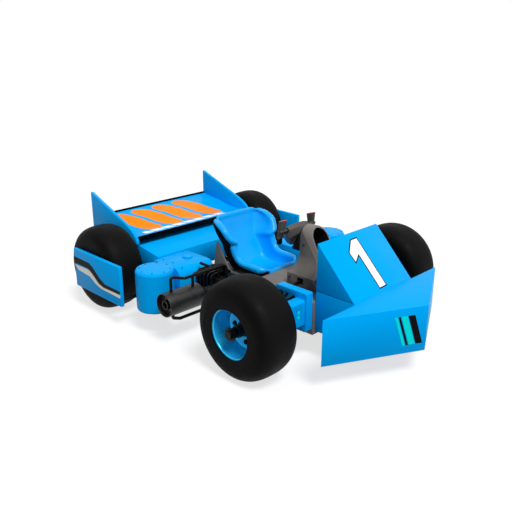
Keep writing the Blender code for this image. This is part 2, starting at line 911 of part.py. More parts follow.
def build_seat():
    grid = seat_grid()
    place("seat", to_mesh("seat", shell_from_grid(grid, 0.0, seat_wall)), blue_paint())
    skipped = seat_roll_steps + 1
    back = [row[skipped:-skipped] for row in grid[backing_first_row:backing_last_row + 1]]
    backing = shell_from_grid(back, -touch_gap * 2, -seat_backing_wall)
    place("seat_backing", to_mesh("seat_backing", backing), black_metal())


# Engine, silencer, guards and gear lever

def build_engine():
    centre_x = x_from_front(-engine_centre_behind_front_axle)
    rear_x = centre_x - engine_length / 2
    crank_rear_x = rear_x + (fin_count - 1) * fin_pitch + fin_thickness / 2
    case_outline = rounded_rectangle(-crankcase_outer_half_spacing, engine_bottom_height,
                                     -engine_inner_half_spacing, crankcase_top_height, crankcase_corner, 2)
    crankcase = prism(case_outline, crank_rear_x, centre_x + engine_length / 2, "X")
    core_outline = rounded_rectangle(-(engine_outer_half_spacing - fin_depth), engine_bottom_height + fin_depth,
                                     -engine_inner_half_spacing, fin_top_height - fin_depth, core_corner, 2)
    core = prism(core_outline, rear_x + fin_thickness / 2, crank_rear_x + touch_gap, "X")
    fin_outline = rounded_rectangle(-engine_outer_half_spacing, engine_bottom_height,
                                    -(engine_inner_half_spacing + fin_inner_inset), fin_top_height, fin_corner, 4)
    pieces = [crankcase, core]
    for index in range(fin_count):
        fin_x = rear_x + index * fin_pitch
        pieces.append(prism(fin_outline, fin_x, fin_x + fin_thickness, "X"))
    for share in engine_lug_shares:
        lug_x = rear_x + share * engine_length
        pieces.append(block((lug_x - engine_lug_length / 2, -(engine_inner_half_spacing + engine_lug_overlap),
                             engine_bottom_height + engine_lug_base),
                            (lug_x + engine_lug_length / 2, -(hull_half_width_seat + touch_gap),
                             engine_bottom_height + engine_lug_height)))
    pieces.append(rod((silencer_x, -(engine_outer_half_spacing - exhaust_port_depth), silencer_height),
                      (silencer_x, -engine_outer_half_spacing, silencer_height), exhaust_port_radius, 20))
    union("engine", pieces, black_metal())


def build_silencer():
    outer_y = -silencer_outer_half_spacing
    inner_y = outer_y + silencer_length
    end_y = outer_y + silencer_end_recess
    port_y = -(engine_outer_half_spacing + touch_gap)
    profile = [(0.0, port_y), (exhaust_radius, port_y), (exhaust_radius, inner_y + silencer_cone_length),
               (silencer_radius - silencer_shoulder, inner_y),
               (silencer_radius, inner_y - silencer_shoulder_length),
               (silencer_radius, outer_y + silencer_lip_edge), (silencer_radius - silencer_lip_edge, outer_y),
               (silencer_radius - silencer_lip, outer_y), (silencer_radius - silencer_lip, end_y),
               (outlet_radius, end_y), (outlet_radius, outer_y + outlet_inset),
               (outlet_bore_radius, outer_y + outlet_inset), (outlet_bore_radius, outer_y + outlet_bore_depth),
               (0.0, outer_y + outlet_bore_depth)]
    body = move(revolve(profile, silencer_segments), (silencer_x, 0.0, silencer_height))
    place("silencer", to_mesh("silencer", body), dark_steel())


def silencer_rise(offset, tube_radius):
    """Height over the silencer's axis at which a tube of a radius stands free on it."""
    nearest = max(abs(offset) - tube_radius, 0.0)
    return math.sqrt(silencer_radius ** 2 - nearest ** 2) + touch_gap * 2


def build_guards():
    x = silencer_x
    leg_y = -(silencer_outer_half_spacing - guard_leg_inset)
    upper_foot = silencer_height + silencer_rise(0.0, guard_upper_radius)
    case_top = crankcase_top_height + touch_gap
    high = guard_upper_height
    outer_loop = bend([(x, leg_y, upper_foot), (x, leg_y, high),
                       (x, -(silencer_outer_half_spacing - guard_kink_inset), high),
                       (x + guard_forward, -(silencer_outer_half_spacing - guard_turn_inset), high),
                       (x + guard_forward, -guard_foot_half_spacing, high),
                       (x + guard_forward, -guard_foot_half_spacing, case_top)], guard_bend_radius)
    inner_x = x + guard_inner_ahead
    inner_y = -(silencer_outer_half_spacing - guard_inner_inset)
    inner_foot = silencer_height + silencer_rise(guard_inner_ahead, guard_upper_radius)
    inner_loop = bend([(inner_x, inner_y, inner_foot), (inner_x, inner_y, guard_inner_height),
                       (inner_x, -guard_inner_foot_half_spacing, guard_inner_height),
                       (inner_x, -guard_inner_foot_half_spacing, case_top)], guard_bend_radius)
    brace = rod((inner_x, -guard_brace_half_spacing, guard_inner_height),
                (x + guard_forward, -guard_brace_half_spacing, high), guard_brace_radius, 8)
    union("silencer_guard_upper", [sweep(outer_loop, guard_upper_radius), sweep(inner_loop, guard_upper_radius),
                                   brace], black_metal())

    lower_leg_y = -(silencer_outer_half_spacing - guard_lower_leg_inset)
    lower_foot = silencer_height - silencer_rise(0.0, guard_lower_radius)
    landing_y = -(engine_outer_half_spacing + touch_gap)
    lower = bend([(x, lower_leg_y, lower_foot), (x, lower_leg_y, guard_lower_leg_height),
                  (x, -(silencer_outer_half_spacing - guard_lower_turn_inset), guard_lower_height),
                  (x, landing_y - guard_lower_rise, guard_lower_height),
                  (x, landing_y - guard_lower_landing, guard_lower_joint_height),
                  (x, landing_y, guard_lower_joint_height)], guard_bend_radius)
    place("silencer_guard_lower", to_mesh("silencer_guard_lower", sweep(lower, guard_lower_radius)), black_metal())

    lever_x = x_from_front(-lever_behind_front_axle)
    lever = sweep(bend([(lever_x, -lever_half_spacing, case_top), (lever_x, -lever_half_spacing, lever_height),
                        (lever_x - lever_length, -lever_half_spacing, lever_height)], lever_bend_radius),
                  lever_radius)
    place("gear_lever", to_mesh("gear_lever", lever), black_metal())


# Side modules

def tank_outer_half_spacing():
    return pod_half_spacing - pod_radius * math.cos(math.pi / pod_segments) - touch_gap


def build_side_module(side, pod_behind_front_axle):
    name = side_name(side)
    pod_x = x_from_front(-pod_behind_front_axle)
    lid_z = pod_top_height - pod_lid_height
    half_groove = pod_groove_width / 2
    body = revolve([(0.0, pod_bottom_height), (pod_radius - pod_bottom_edge, pod_bottom_height),
                    (pod_radius, pod_bottom_height + pod_bottom_edge), (pod_radius, lid_z - half_groove),
                    (pod_radius - pod_groove_depth, lid_z - half_groove),
                    (pod_radius - pod_groove_depth, lid_z + half_groove), (pod_radius, lid_z + half_groove),
                    (pod_radius, pod_top_height - pod_lid_chamfer),
                    (pod_radius - pod_lid_chamfer_width, pod_top_height), (0.0, pod_top_height)], pod_segments)
    upright = Matrix.Rotation(math.radians(90), 4, "X")
    bmesh.ops.transform(body, matrix=upright, verts=body.verts)
    move(body, (pod_x, side * pod_half_spacing, 0.0))
    place(f"pod_{name}", to_mesh("pod", body), blue_paint())

    centre_x = pod_x - tank_centre_behind_pod
    low, high = sorted((side * tank_inner_half_spacing, side * tank_outer_half_spacing()))
    outline = rounded_rectangle(centre_x - tank_length / 2, tank_bottom_height,
                                centre_x + tank_length / 2, tank_top_height, tank_corner_radius)
    full = f"side_tank_{name}"
    place(full, to_mesh(full, prism(outline, low, high)), blue_paint())
    if side > 0:
        return
    cap = revolve([(0.0, 0.0), (filler_cap_radius, 0.0),
                   (filler_cap_radius, filler_cap_height - filler_cap_edge),
                   (filler_cap_radius - filler_cap_edge, filler_cap_height), (0.0, filler_cap_height)],
                  filler_cap_segments)
    bmesh.ops.transform(cap, matrix=upright, verts=cap.verts)
    move(cap, (centre_x, side * (tank_inner_half_spacing + filler_cap_outward), tank_top_height + touch_gap))
    place("filler_cap", to_mesh("filler_cap", cap), blue_paint())


# Rear end

def cover_top_height(distance):
    """Height of the engine cover's top at a distance ahead of the rear axle."""
    return cover_front_height + cover_slope * (cover_front_ahead_of_rear_axle - distance)


def build_rear_frame():
    rear_x = x_from_rear(-rail_behind_axle)
    half_bearing = bearing_width / 2
    pieces = []
    for side in (-1, 1):
        y = side * rail_half_spacing
        pieces.append(rod((rear_x, y, rail_height), (hull_rear_x - touch_gap, y, rail_height), rail_radius, 10))
        pieces.append(block((x_from_rear(-bearing_block_half_length), y - half_bearing,
                             rail_height - bearing_block_drop),
                            (x_from_rear(bearing_block_half_length), y + half_bearing, rear_tyre_radius)))
        pieces.append(rod((rear_axle_x, y - half_bearing - bearing_lip, rear_tyre_radius),
                          (rear_axle_x, y + half_bearing + bearing_lip, rear_tyre_radius),
                          bearing_outer_radius, 20))
        for distance in (cover_post_ahead, -cover_post_behind):
            top = cover_top_height(distance) - cover_wall - touch_gap - cover_post_gap
            x = x_from_rear(distance)
            foot = rail_height
            if distance < 0:
                strut_top = rail_height + tail_strut_rise
                pieces.append(rod((rear_x + tail_strut_inset, y, rail_height), (x, y, strut_top),
                                  cover_post_radius, 8))
                foot = strut_top - tail_strut_overlap
            pieces.append(rod((x, y, foot), (x, y, top), cover_post_radius, 8))
    reach = side_guard_inner_half_spacing - touch_gap
    bar_x = x_from_rear(side_bar_ahead_of_rear_axle)
    pieces.append(rod((bar_x, -reach, side_bar_height), (bar_x, reach, side_bar_height), side_bar_radius, 10))
    cross_x = rear_x + rail_radius
    pieces.append(rod((cross_x, -rail_half_spacing, rail_height), (cross_x, rail_half_spacing, rail_height),
                      rail_cross_radius, 10))
    bore_reach = rail_half_spacing + bearing_width
    bore = rod((rear_axle_x, -bore_reach, rear_tyre_radius), (rear_axle_x, bore_reach, rear_tyre_radius),
               bearing_bore_radius(rear_axle_radius, axle_segments), axle_segments)
    union("rear_frame", pieces, black_metal(), cuts=[bore])


def build_cover():
    front_x = x_from_rear(cover_front_ahead_of_rear_axle)
    rear_x = x_from_rear(-cover_rear_behind_rear_axle)
    top_rear = cover_top_height(-cover_rear_behind_rear_axle)
    outer = [(rear_x, cover_skirt_height), (front_x, cover_skirt_height), (front_x, cover_front_height),
             (rear_x, top_rear)]
    shell = solid(prism(outer, -cover_half_width, cover_half_width))
    below = cover_skirt_height - cut_overrun
    inner = [(rear_x - cut_overrun, below), (front_x - cover_wall, below),
             (front_x - cover_wall, cover_front_height - cover_wall),
             (rear_x - cut_overrun, top_rear - cover_wall + cut_overrun * cover_slope)]
    inside = prism(inner, -(cover_half_width - cover_wall), cover_half_width - cover_wall)
    slot_half = rear_axle_radius + running_gap
    slot = block((rear_axle_x - slot_half, -cover_half_width - cut_overrun, below),
                 (rear_axle_x + slot_half, cover_half_width + cut_overrun, rear_tyre_radius + slot_half))
    combine(shell, [solid(inside), solid(slot)], "DIFFERENCE")
    finish(shell, "engine_cover", blue_paint())


def wing_section():
    """The rear wing's section: a flat inverted aerofoil, from nose to tail."""
    front_x = x_from_rear(wing_front_ahead_of_rear_axle)
    chord = wing_front_ahead_of_rear_axle + wing_rear_behind_rear_axle
    top, bottom = [], []
    for step in range(wing_steps + 1):
        share = step / wing_steps
        x = front_x - chord * share
        dip = wing_dip * math.sin(math.pi * min(share / wing_dip_share, 1.0))
        height = wing_front_height + (wing_rear_height - wing_front_height) * share ** wing_rise_power - dip
        taper = (wing_nose_thickness - wing_tail_thickness) * (1 - share) ** wing_taper_power
        top.append((x, height))
        bottom.append((x, height - wing_tail_thickness - taper))
    return top, bottom


def wing_underside(distance):
    """Height of the wing's underside at a distance ahead of the rear axle."""
    bottom = wing_section()[1]
    x = x_from_rear(distance)
    for (front_x, front_z), (rear_x, rear_z) in zip(bottom, bottom[1:]):
        if rear_x <= x <= front_x:
            return front_z + (rear_z - front_z) * (front_x - x) / (front_x - rear_x)
    return bottom[0][1]


def build_wing():
    top, bottom = wing_section()
    rear_x, rear_z = top[-1]
    strip = block((rear_x - gurney_overlap, -wing_half_span, rear_z - gurney_foot),
                  (rear_x + gurney_thickness, wing_half_span, rear_z + gurney_height))
    pieces = [prism(top + list(reversed(bottom)), -wing_half_span, wing_half_span), strip]
    for side in (1, -1):
        y = side * wing_mount_half_spacing
        mount = [(x_from_rear(distance), cover_top_height(distance) + touch_gap)
                 for distance in (wing_mount_front, -wing_mount_rear)]
        mount += [(x_from_rear(distance), wing_underside(distance) + wing_mount_overlap)
                  for distance in (-wing_mount_rear, wing_mount_front)]
        pieces.append(prism(mount, y - wing_mount_thickness / 2, y + wing_mount_thickness / 2))
    union("rear_wing", pieces, blue_paint())


def build_end_plate(side):
    inner_y = wing_half_span + touch_gap
    low, high = sorted((side * inner_y, side * (inner_y + end_plate_thickness)))
    rear_x = x_from_rear(-rear_overhang)
    front_x = x_from_rear(wing_front_ahead_of_rear_axle + end_plate_ahead_of_wing)
    corner = Vector((front_x, end_plate_corner_height))
    top_rear = Vector((rear_x, end_plate_top_height))
    bottom_front = Vector((front_x, end_plate_bottom_height))
    edge = curve(bottom_front, corner, corner.lerp(top_rear, end_plate_curve_share), end_plate_curve_steps)
    outline = [(rear_x, end_plate_bottom_height)] + [tuple(point) for point in edge] + [tuple(top_rear)]
    full = f"end_plate_{side_name(side)}"
    place(full, to_mesh(full, prism(outline, low, high)), blue_paint())


def build_side_guard(side):
    low, high = sorted((side * side_guard_inner_half_spacing,
                        side * (side_guard_inner_half_spacing + side_guard_thickness)))
    plate = block((x_from_rear(-side_guard_rear_behind_rear_axle), low, side_guard_bottom_height),
                  (x_from_rear(side_guard_front_ahead_of_rear_axle), high, side_guard_top_height))
    bevel_edges(plate, side_guard_edge, 2, lambda edge: True)
    full = f"side_guard_{side_name(side)}"
    place(full, to_mesh(full, plate), blue_paint())


# Front plates, lamps and suspension

def column_end():
    """Where the steering column carries its pitman arm."""
    end_x = x_from_front(-steering_arm_length) + pitman_length * math.sin(column_tilt)
    along = (end_x - yoke_x) / math.cos(column_tilt)
    return Vector((yoke_x, 0.0, yoke_centre_height)) + column_direction * along


def pitman_end():
    down = Vector((-math.sin(column_tilt), 0.0, -math.cos(column_tilt)))
    return column_end() + down * pitman_length


def tie_rod_line(side):
    inner = pitman_end() + Vector((0.0, side * (pitman_eye_half_width + tie_rod_clearance), 0.0))
    outer = Vector((x_from_front(-steering_arm_length), side * (kingpin_half_spacing - tie_rod_outer_inset),
                    tie_rod_outer_height))
    return inner, outer


def build_front_plate(side):
    face = plate_inner_half_spacing + plate_thickness
    low, high = sorted((side * plate_inner_half_spacing, side * face))
    outline = rounded_rectangle(x_from_front(-plate_rear_behind), plate_bottom_height,
                                x_from_front(plate_front_ahead), plate_top_height, plate_corner, 3)
    plate = solid(prism(outline, low, high))
    inner, outer = tie_rod_line(side)
    along = (outer - inner).normalized()
    passage = rod(inner - along * cut_overrun, outer + along * cut_overrun, tie_rod_passage_radius, 16)
    combine(plate, [solid(passage)], "DIFFERENCE")

    box_front = x_from_front(lamp_box_front_ahead)
    box_rear = box_front - lamp_box_length
    low, high = sorted((side * (face - lamp_box_overlap), side * (face + lamp_box_depth)))
    outline = [(box_rear, lamp_box_bottom_height), (box_front, lamp_box_bottom_height),
               (box_front, lamp_box_top_height - lamp_box_edge), (box_front - lamp_box_edge, lamp_box_top_height),
               (box_rear, lamp_box_top_height)]
    combine(plate, [solid(prism(outline, low, high))], "UNION")

    lamp_y = side * (face + lamp_outward)
    half_width = lamp_radius + lamp_frame
    half_height = lamp_spacing / 2 + half_width
    wall_x = box_front - lamp_box_wall
    pocket = block((box_rear - cut_overrun, lamp_y - half_width, lamp_centre_height - half_height),
                   (wall_x, lamp_y + half_width, lamp_centre_height + half_height))
    lamp_heights = [lamp_centre_height + lamp_spacing / 2, lamp_centre_height - lamp_spacing / 2]
    bores = [rod((wall_x - cut_overrun, lamp_y, height), (box_front + cut_overrun, lamp_y, height),
                 lamp_radius + touch_gap, 16) for height in lamp_heights]
    combine(plate, [solid(pocket)] + [solid(bore) for bore in bores], "DIFFERENCE")
    finish(plate, f"front_plate_{side_name(side)}", blue_paint())

    back = block((wall_x - lamp_back_thickness, lamp_y - half_width + touch_gap,
                  lamp_centre_height - half_height + touch_gap),
                 (wall_x - touch_gap, lamp_y + half_width - touch_gap, lamp_centre_height + half_height - touch_gap))
    lenses = [rod((wall_x - lamp_back_thickness / 2, lamp_y, height), (box_front + lamp_stand_out, lamp_y, height),
                  lamp_radius, 16) for height in lamp_heights]
    union(f"lamps_{side_name(side)}", [back] + lenses, lamp_glass())


def build_front_arms(side):
    face = side * (plate_inner_half_spacing + plate_thickness + touch_gap)
    pin = Vector((front_axle_x, side * kingpin_half_spacing, front_tyre_radius))
    boss_top = pin.z + kingpin_boss_height / 2 + pin_gap
    boss_bottom = pin.z - kingpin_boss_height / 2 - pin_gap
    pieces = [rod((pin.x, pin.y, boss_bottom - kingpin_beyond_boss), (pin.x, pin.y, boss_top + kingpin_beyond_boss),
                  kingpin_radius, 14)]
    for base, step, arm_z in ((boss_top, arm_boss_height, arm_upper_height),
                              (boss_bottom, -arm_boss_height, arm_lower_height)):
        low, high = sorted((base, base + step))
        pieces.append(rod((pin.x, pin.y, low), (pin.x, pin.y, high), kingpin_boss_radius, 16))
        for offset in (arm_rear_offset, arm_front_offset):
            start = Vector((pin.x + offset, face, arm_z))
            toward = Vector((pin.x + offset * arm_apex_share, pin.y - side * arm_apex_inset, (low + high) / 2))
            pieces.append(rod(start, toward, arm_radius, 8))
    trim_low, trim_high = sorted((face, face - side * plate_thickness))
    trim = block((x_from_front(-plate_rear_behind), trim_low, plate_bottom_height),
                 (x_from_front(plate_front_ahead), trim_high, plate_top_height))
    union(f"front_arms_{side_name(side)}", pieces, black_metal(), cuts=[trim])


def build_knuckle(side, pivot):
    half = kingpin_boss_height / 2
    centre_out = front_half_track - kingpin_half_spacing
    nut_start = centre_out + front_hub_outer_offset + wheel_nut_gap
    boss = rod((0.0, 0.0, -half), (0.0, 0.0, half), kingpin_boss_radius, 16)
    stub = rod((0.0, 0.0, 0.0), (0.0, side * (centre_out + stub_axle_beyond_wheel), 0.0), stub_axle_radius, 14)
    shoulder = rod((0.0, 0.0, 0.0), (0.0, side * stub_shoulder_length, 0.0), stub_shoulder_radius, 14)
    nut = rod((0.0, side * nut_start, 0.0), (0.0, side * (nut_start + wheel_nut_length), 0.0), wheel_nut_radius, 6)
    arm_z = tie_rod_outer_height - front_tyre_radius - steering_post_height
    arm_end = Vector((-steering_arm_length, -side * tie_rod_outer_inset, arm_z))
    arm = rod((0.0, 0.0, steering_arm_root_height), arm_end, steering_arm_radius, 10)
    eye_half = Vector((0.0, 0.0, steering_eye_half_height))
    eye = rod(arm_end - eye_half, arm_end + eye_half, steering_eye_radius, 12)
    pin_top = arm_z + steering_post_height - tie_rod_end_radius - pin_gap * ball_rest_share
    post = rod(arm_end, (arm_end.x, arm_end.y, pin_top), steering_pin_radius, 10)
    bore = rod((0.0, 0.0, -half - cut_overrun), (0.0, 0.0, half + cut_overrun), kingpin_radius + pin_gap, 14)
    union(f"knuckle_{side_name(side)}", [boss, stub, shoulder, nut, arm, eye, post], black_metal(), pivot,
          cuts=[bore])


def build_tie_rod(side, pivot):
    inner, outer = tie_rod_line(side)
    body = rod(inner - outer, (0.0, 0.0, 0.0), tie_rod_radius, 10)
    ball = bmesh.new()
    bmesh.ops.create_uvsphere(ball, u_segments=12, v_segments=7, radius=tie_rod_end_radius)
    union(f"tie_rod_{side_name(side)}", [body, ball], dark_steel(), pivot)


# Steering

def yoke_bar(gap):
    """The bar through the hub, across the column, grown by a gap on each side."""
    high = -yoke_bar_behind + yoke_bar_depth / 2 + gap
    low = -yoke_bar_behind - yoke_bar_depth / 2 - gap
    reach = yoke_bar_half_length if gap == 0 else yoke_hub_half_width + cut_overrun
    outline = rounded_rectangle(-reach, yoke_bar_height - yoke_bar_width / 2 - gap,
                                reach, yoke_bar_height + yoke_bar_width / 2 + gap, yoke_bar_corner, 2)
    return prism(outline, low, high, "X")


def build_grip(side):
    """One upright grip: it widens upwards, leans inwards and has a sloped top."""
    grip = prism(rounded_rectangle(-grip_depth / 2, -grip_width / 2, grip_depth / 2, grip_width / 2, grip_corner, 3),
                 0.0, grip_height, "Z")
    for vert in grip.verts:
        share = vert.co.z / grip_height
        size = grip_bottom_share + (grip_top_share - grip_bottom_share) * share
        slope = vert.co.x * grip_top_slope * share
        vert.co.x = vert.co.x * size + grip_forward * share
        vert.co.y = vert.co.y * size - side * grip_lean * share
        vert.co.z += slope
    return move(grip, (0.0, side * grip_half_spacing, grip_bottom))


def build_steering(pivot):
    """Column, pitman arm, hub and two grips, all turning about the column's axis."""
    origin = Vector((yoke_x, 0.0, yoke_centre_height))
    end = column_end() - origin
    foot = pitman_end() - origin
    half_eye = Vector((0.0, pitman_eye_half_width, 0.0))
    column = rod(-column_direction * column_into_hub, end + column_direction * column_beyond_pitman,
                 column_radius, column_segments)
    union("steering_column", [column, rod(end, foot, pitman_arm_radius, 10),
                              rod(foot - half_eye, foot + half_eye, pitman_eye_radius, 12)], black_metal(), pivot)

    tilt = Matrix.Rotation(column_tilt, 4, "Y")
    right = [(yoke_hub_half_width * width, (yoke_hub_top if height > 0 else yoke_hub_bottom) * height)
             for width, height in yoke_hub_shares]
    hub = prism(right + [(-y, z) for y, z in reversed(right)], -yoke_hub_rear, yoke_hub_front, "X")
    for vert in hub.verts:
        if vert.co.x > 0:
            vert.co.y *= yoke_hub_front_share
            vert.co.z *= yoke_hub_front_share
    bevel_edges(hub, yoke_hub_edge, 1, lambda edge: all(vert.co.x < 0 for vert in edge.verts))
    slot = yoke_bar(touch_gap)
    for piece in (hub, slot):
        bmesh.ops.transform(piece, matrix=tilt, verts=piece.verts)
    shaft = rod(-column_direction * (column_into_hub + touch_gap), column_direction * yoke_hub_half_width,
                bearing_bore_radius(column_radius, column_segments), column_segments)
    union("yoke_hub", [hub], grey_composite(), pivot, cuts=[slot, shaft])

    bar = yoke_bar(0)
    bmesh.ops.transform(bar, matrix=tilt, verts=bar.verts)
    pieces = [bar]
    for side in (1, -1):
        pieces.append(build_grip(side))
        y = side * grip_half_spacing
        pieces.append(block((-grip_foot_depth / 2, y - grip_foot_width / 2, grip_bottom - grip_foot_height),
                            (grip_foot_depth / 2, y + grip_foot_width / 2, grip_bottom + grip_foot_overlap)))
    union("steering_yoke", pieces, black_rubber(), pivot)


# Wheels

def tyre_profile(radius, half_width):
    """Tyre section as (radius, along axle) points: a full crown and tucked beads."""
    mid = tyre_section_centre_share * radius
    rise = radius - mid
    power = 2 / tyre_section_power
    lip_clear = rim_lip_radius + touch_gap * 2
    bead_half = rim_lip_offset - rim_lip_width - touch_gap
    crown = []
    for step in range(tyre_section_points):
        angle = tyre_section_swing * (2 * step / (tyre_section_points - 1) - 1)
        sine, cosine = math.sin(angle), math.cos(angle)
        crown.append((mid + rise * math.copysign(abs(cosine) ** power, cosine),
                      half_width * math.copysign(abs(sine) ** power, sine)))
    bead_right = [(lip_clear, rim_lip_offset + tyre_bead_beyond_lip), (lip_clear, bead_half),
                  (rim_barrel_radius + touch_gap, bead_half)]
    bead_left = [(radius_value, -along) for radius_value, along in reversed(bead_right)]
    return crown + bead_right + bead_left


def rim_profile(side, disc_bore):
    """Rim section: an outer and an inner lip, a barrel between them, and a disc."""
    out = rim_lip_offset
    inner_radius = rim_barrel_radius - rim_wall
    disc_out = rim_disc_offset + rim_disc_thickness
    points = [(disc_bore, rim_disc_offset), (inner_radius, rim_disc_offset), (inner_radius, -out),
              (rim_lip_radius, -out), (rim_lip_radius, -(out - rim_lip_width)),
              (rim_barrel_radius, -(out - rim_lip_width)), (rim_barrel_radius, out - rim_lip_width),
              (rim_lip_radius, out - rim_lip_width), (rim_lip_radius, out), (inner_radius, out),
              (inner_radius, disc_out), (disc_bore, disc_out)]
    return [(radius, along * side) for radius, along in points]


def build_wheel(prefix, side, pivot, radius, half_width):
    flat_radius = radius / math.cos(math.pi / wheel_segments)
    tyre = revolve(tyre_profile(flat_radius, half_width), wheel_segments)
    place(f"{prefix}_tyre_{side_name(side)}", to_mesh("tyre", tyre), black_rubber(), pivot)
    rim = revolve(rim_profile(side, hub_barrel_radius + touch_gap * 2), wheel_segments)
    place(f"{prefix}_rim_{side_name(side)}", to_mesh("rim", rim), blue_paint(), pivot)


def hub_pieces(side, inner_end, outer_end):
    """Barrel and flange of a hub; the wheel's disc sits on the flange."""
    flange_high = rim_disc_offset - touch_gap
    flange_low = flange_high - hub_flange_thickness
    return [rod((0.0, side * inner_end, 0.0), (0.0, side * outer_end, 0.0), hub_barrel_radius, 16),
            rod((0.0, side * flange_low, 0.0), (0.0, side * flange_high, 0.0), hub_flange_radius, 16)]


def build_front_hub(side, pivot):
    inner_end = front_hub_beyond_kingpin - (front_half_track - kingpin_half_spacing)
    bore = rod((0.0, -front_half_track, 0.0), (0.0, front_half_track, 0.0), stub_axle_radius + pin_gap, 16)
    union(f"front_hub_{side_name(side)}", hub_pieces(side, inner_end, front_hub_outer_offset), black_metal(),
          pivot, cuts=[bore])


def build_rear_axle(pivot):
    """The live axle in one piece with its two hubs and the brake disc."""
    reach = rear_half_track + rear_axle_beyond_wheel
    pieces = [rod((0.0, -reach, 0.0), (0.0, reach, 0.0), rear_axle_radius, axle_segments)]
    for side in (1, -1):
        for piece in hub_pieces(side, rear_hub_inner_offset, rear_hub_outer_offset):
            pieces.append(move(piece, (0.0, side * rear_half_track, 0.0)))
    pieces.append(rod((0.0, brake_disc_offset, 0.0), (0.0, brake_disc_offset + brake_disc_thickness, 0.0),
                      brake_disc_radius, 24))
    pieces.append(rod((0.0, brake_disc_offset - brake_hub_inner, 0.0),
                      (0.0, brake_disc_offset + brake_hub_outer, 0.0), brake_hub_radius, 16))
    union("rear_axle", pieces, dark_steel(), pivot)


def build_pedals():
    """Brake and throttle pedals, on one base bar on the nose box."""
    x = x_from_front(pedal_ahead)
    base_z = fairing_bottom_height + touch_gap
    half = pedal_half_spacing + pedal_width / 2
    top_x = x - pedal_lean
    pieces = [block((x, -half, base_z), (x + pedal_base_length, half, base_z + pedal_base_thickness))]
    for side in (1, -1):
        y = side * pedal_half_spacing
        outline = [(x + pedal_root_inset, base_z + pedal_root_inset),
                   (x + pedal_base_length - pedal_root_inset, base_z + pedal_root_inset),
                   (x + pedal_neck_ahead, base_z + pedal_root_height), (top_x, base_z + pedal_height),
                   (top_x - pedal_thickness, base_z + pedal_height - pedal_root_inset)]
        pieces.append(prism(outline, y - pedal_width / 2, y + pedal_width / 2))
    union("pedals", pieces, dark_steel())


def main():
    clear_scene()
    build_hull()
    build_tower()
    build_column_housing()
    build_nose()
    build_seat()
    build_engine()
    build_silencer()
    build_guards()
    build_side_module(-1, right_module_behind_front_axle)
    build_side_module(1, left_module_behind_front_axle)
    build_rear_frame()
    build_cover()
    build_wing()
    build_pedals()
    steering = joint_empty("steering_joint", (yoke_x, 0.0, yoke_centre_height))
    build_steering(steering)
    for side in (1, -1):
        build_end_plate(side)
        build_side_guard(side)
        build_front_plate(side)
        build_front_arms(side)
        knuckle = joint_empty(f"kingpin_{side_name(side)}",
                              (front_axle_x, side * kingpin_half_spacing, front_tyre_radius))
        build_knuckle(side, knuckle)
        rod_joint = joint_empty(f"tie_rod_joint_{side_name(side)}", tie_rod_line(side)[1], knuckle)
        build_tie_rod(side, rod_joint)
        wheel = joint_empty(f"front_wheel_joint_{side_name(side)}",
                            (front_axle_x, side * front_half_track, front_tyre_radius), knuckle)
        build_front_hub(side, wheel)
        build_wheel("front", side, wheel, front_tyre_radius, front_tyre_half_width)
    axle = joint_empty("rear_axle_joint", (rear_axle_x, 0.0, rear_tyre_radius))
    build_rear_axle(axle)
    for side in (1, -1):
        wheel = joint_empty(f"rear_wheel_{side_name(side)}", (rear_axle_x, side * rear_half_track, rear_tyre_radius),
                            axle)
        build_wheel("rear", side, wheel, rear_tyre_radius, rear_tyre_half_width)


main()
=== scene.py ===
"""Looks of the racing kart: materials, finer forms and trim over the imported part."""
import math

import bmesh
import bpy
from mathutils import Matrix, Vector


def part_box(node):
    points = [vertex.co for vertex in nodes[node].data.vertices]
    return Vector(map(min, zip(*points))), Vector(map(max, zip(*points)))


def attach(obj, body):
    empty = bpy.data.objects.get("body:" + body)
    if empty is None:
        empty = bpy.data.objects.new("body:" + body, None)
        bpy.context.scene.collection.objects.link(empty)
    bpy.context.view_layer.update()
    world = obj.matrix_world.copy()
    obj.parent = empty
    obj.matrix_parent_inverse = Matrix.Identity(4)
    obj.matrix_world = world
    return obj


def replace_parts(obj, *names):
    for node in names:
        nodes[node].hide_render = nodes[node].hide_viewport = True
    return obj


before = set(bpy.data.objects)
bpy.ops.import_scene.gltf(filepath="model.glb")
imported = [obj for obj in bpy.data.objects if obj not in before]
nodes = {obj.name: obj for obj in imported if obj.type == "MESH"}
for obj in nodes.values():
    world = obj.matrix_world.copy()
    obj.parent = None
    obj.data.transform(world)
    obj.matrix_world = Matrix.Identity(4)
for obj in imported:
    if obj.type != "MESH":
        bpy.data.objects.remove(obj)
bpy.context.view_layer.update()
SIDES = (("right", -1), ("left", 1))


# Helpers for colours and shader nodes

def srgb(red, green, blue):
    """Linear colour of an 8-bit sRGB one."""
    def channel(value):
        share = value / 255
        return share / 12.92 if share <= 0.04045 else ((share + 0.055) / 1.055) ** 2.4
    return (channel(red), channel(green), channel(blue), 1.0)


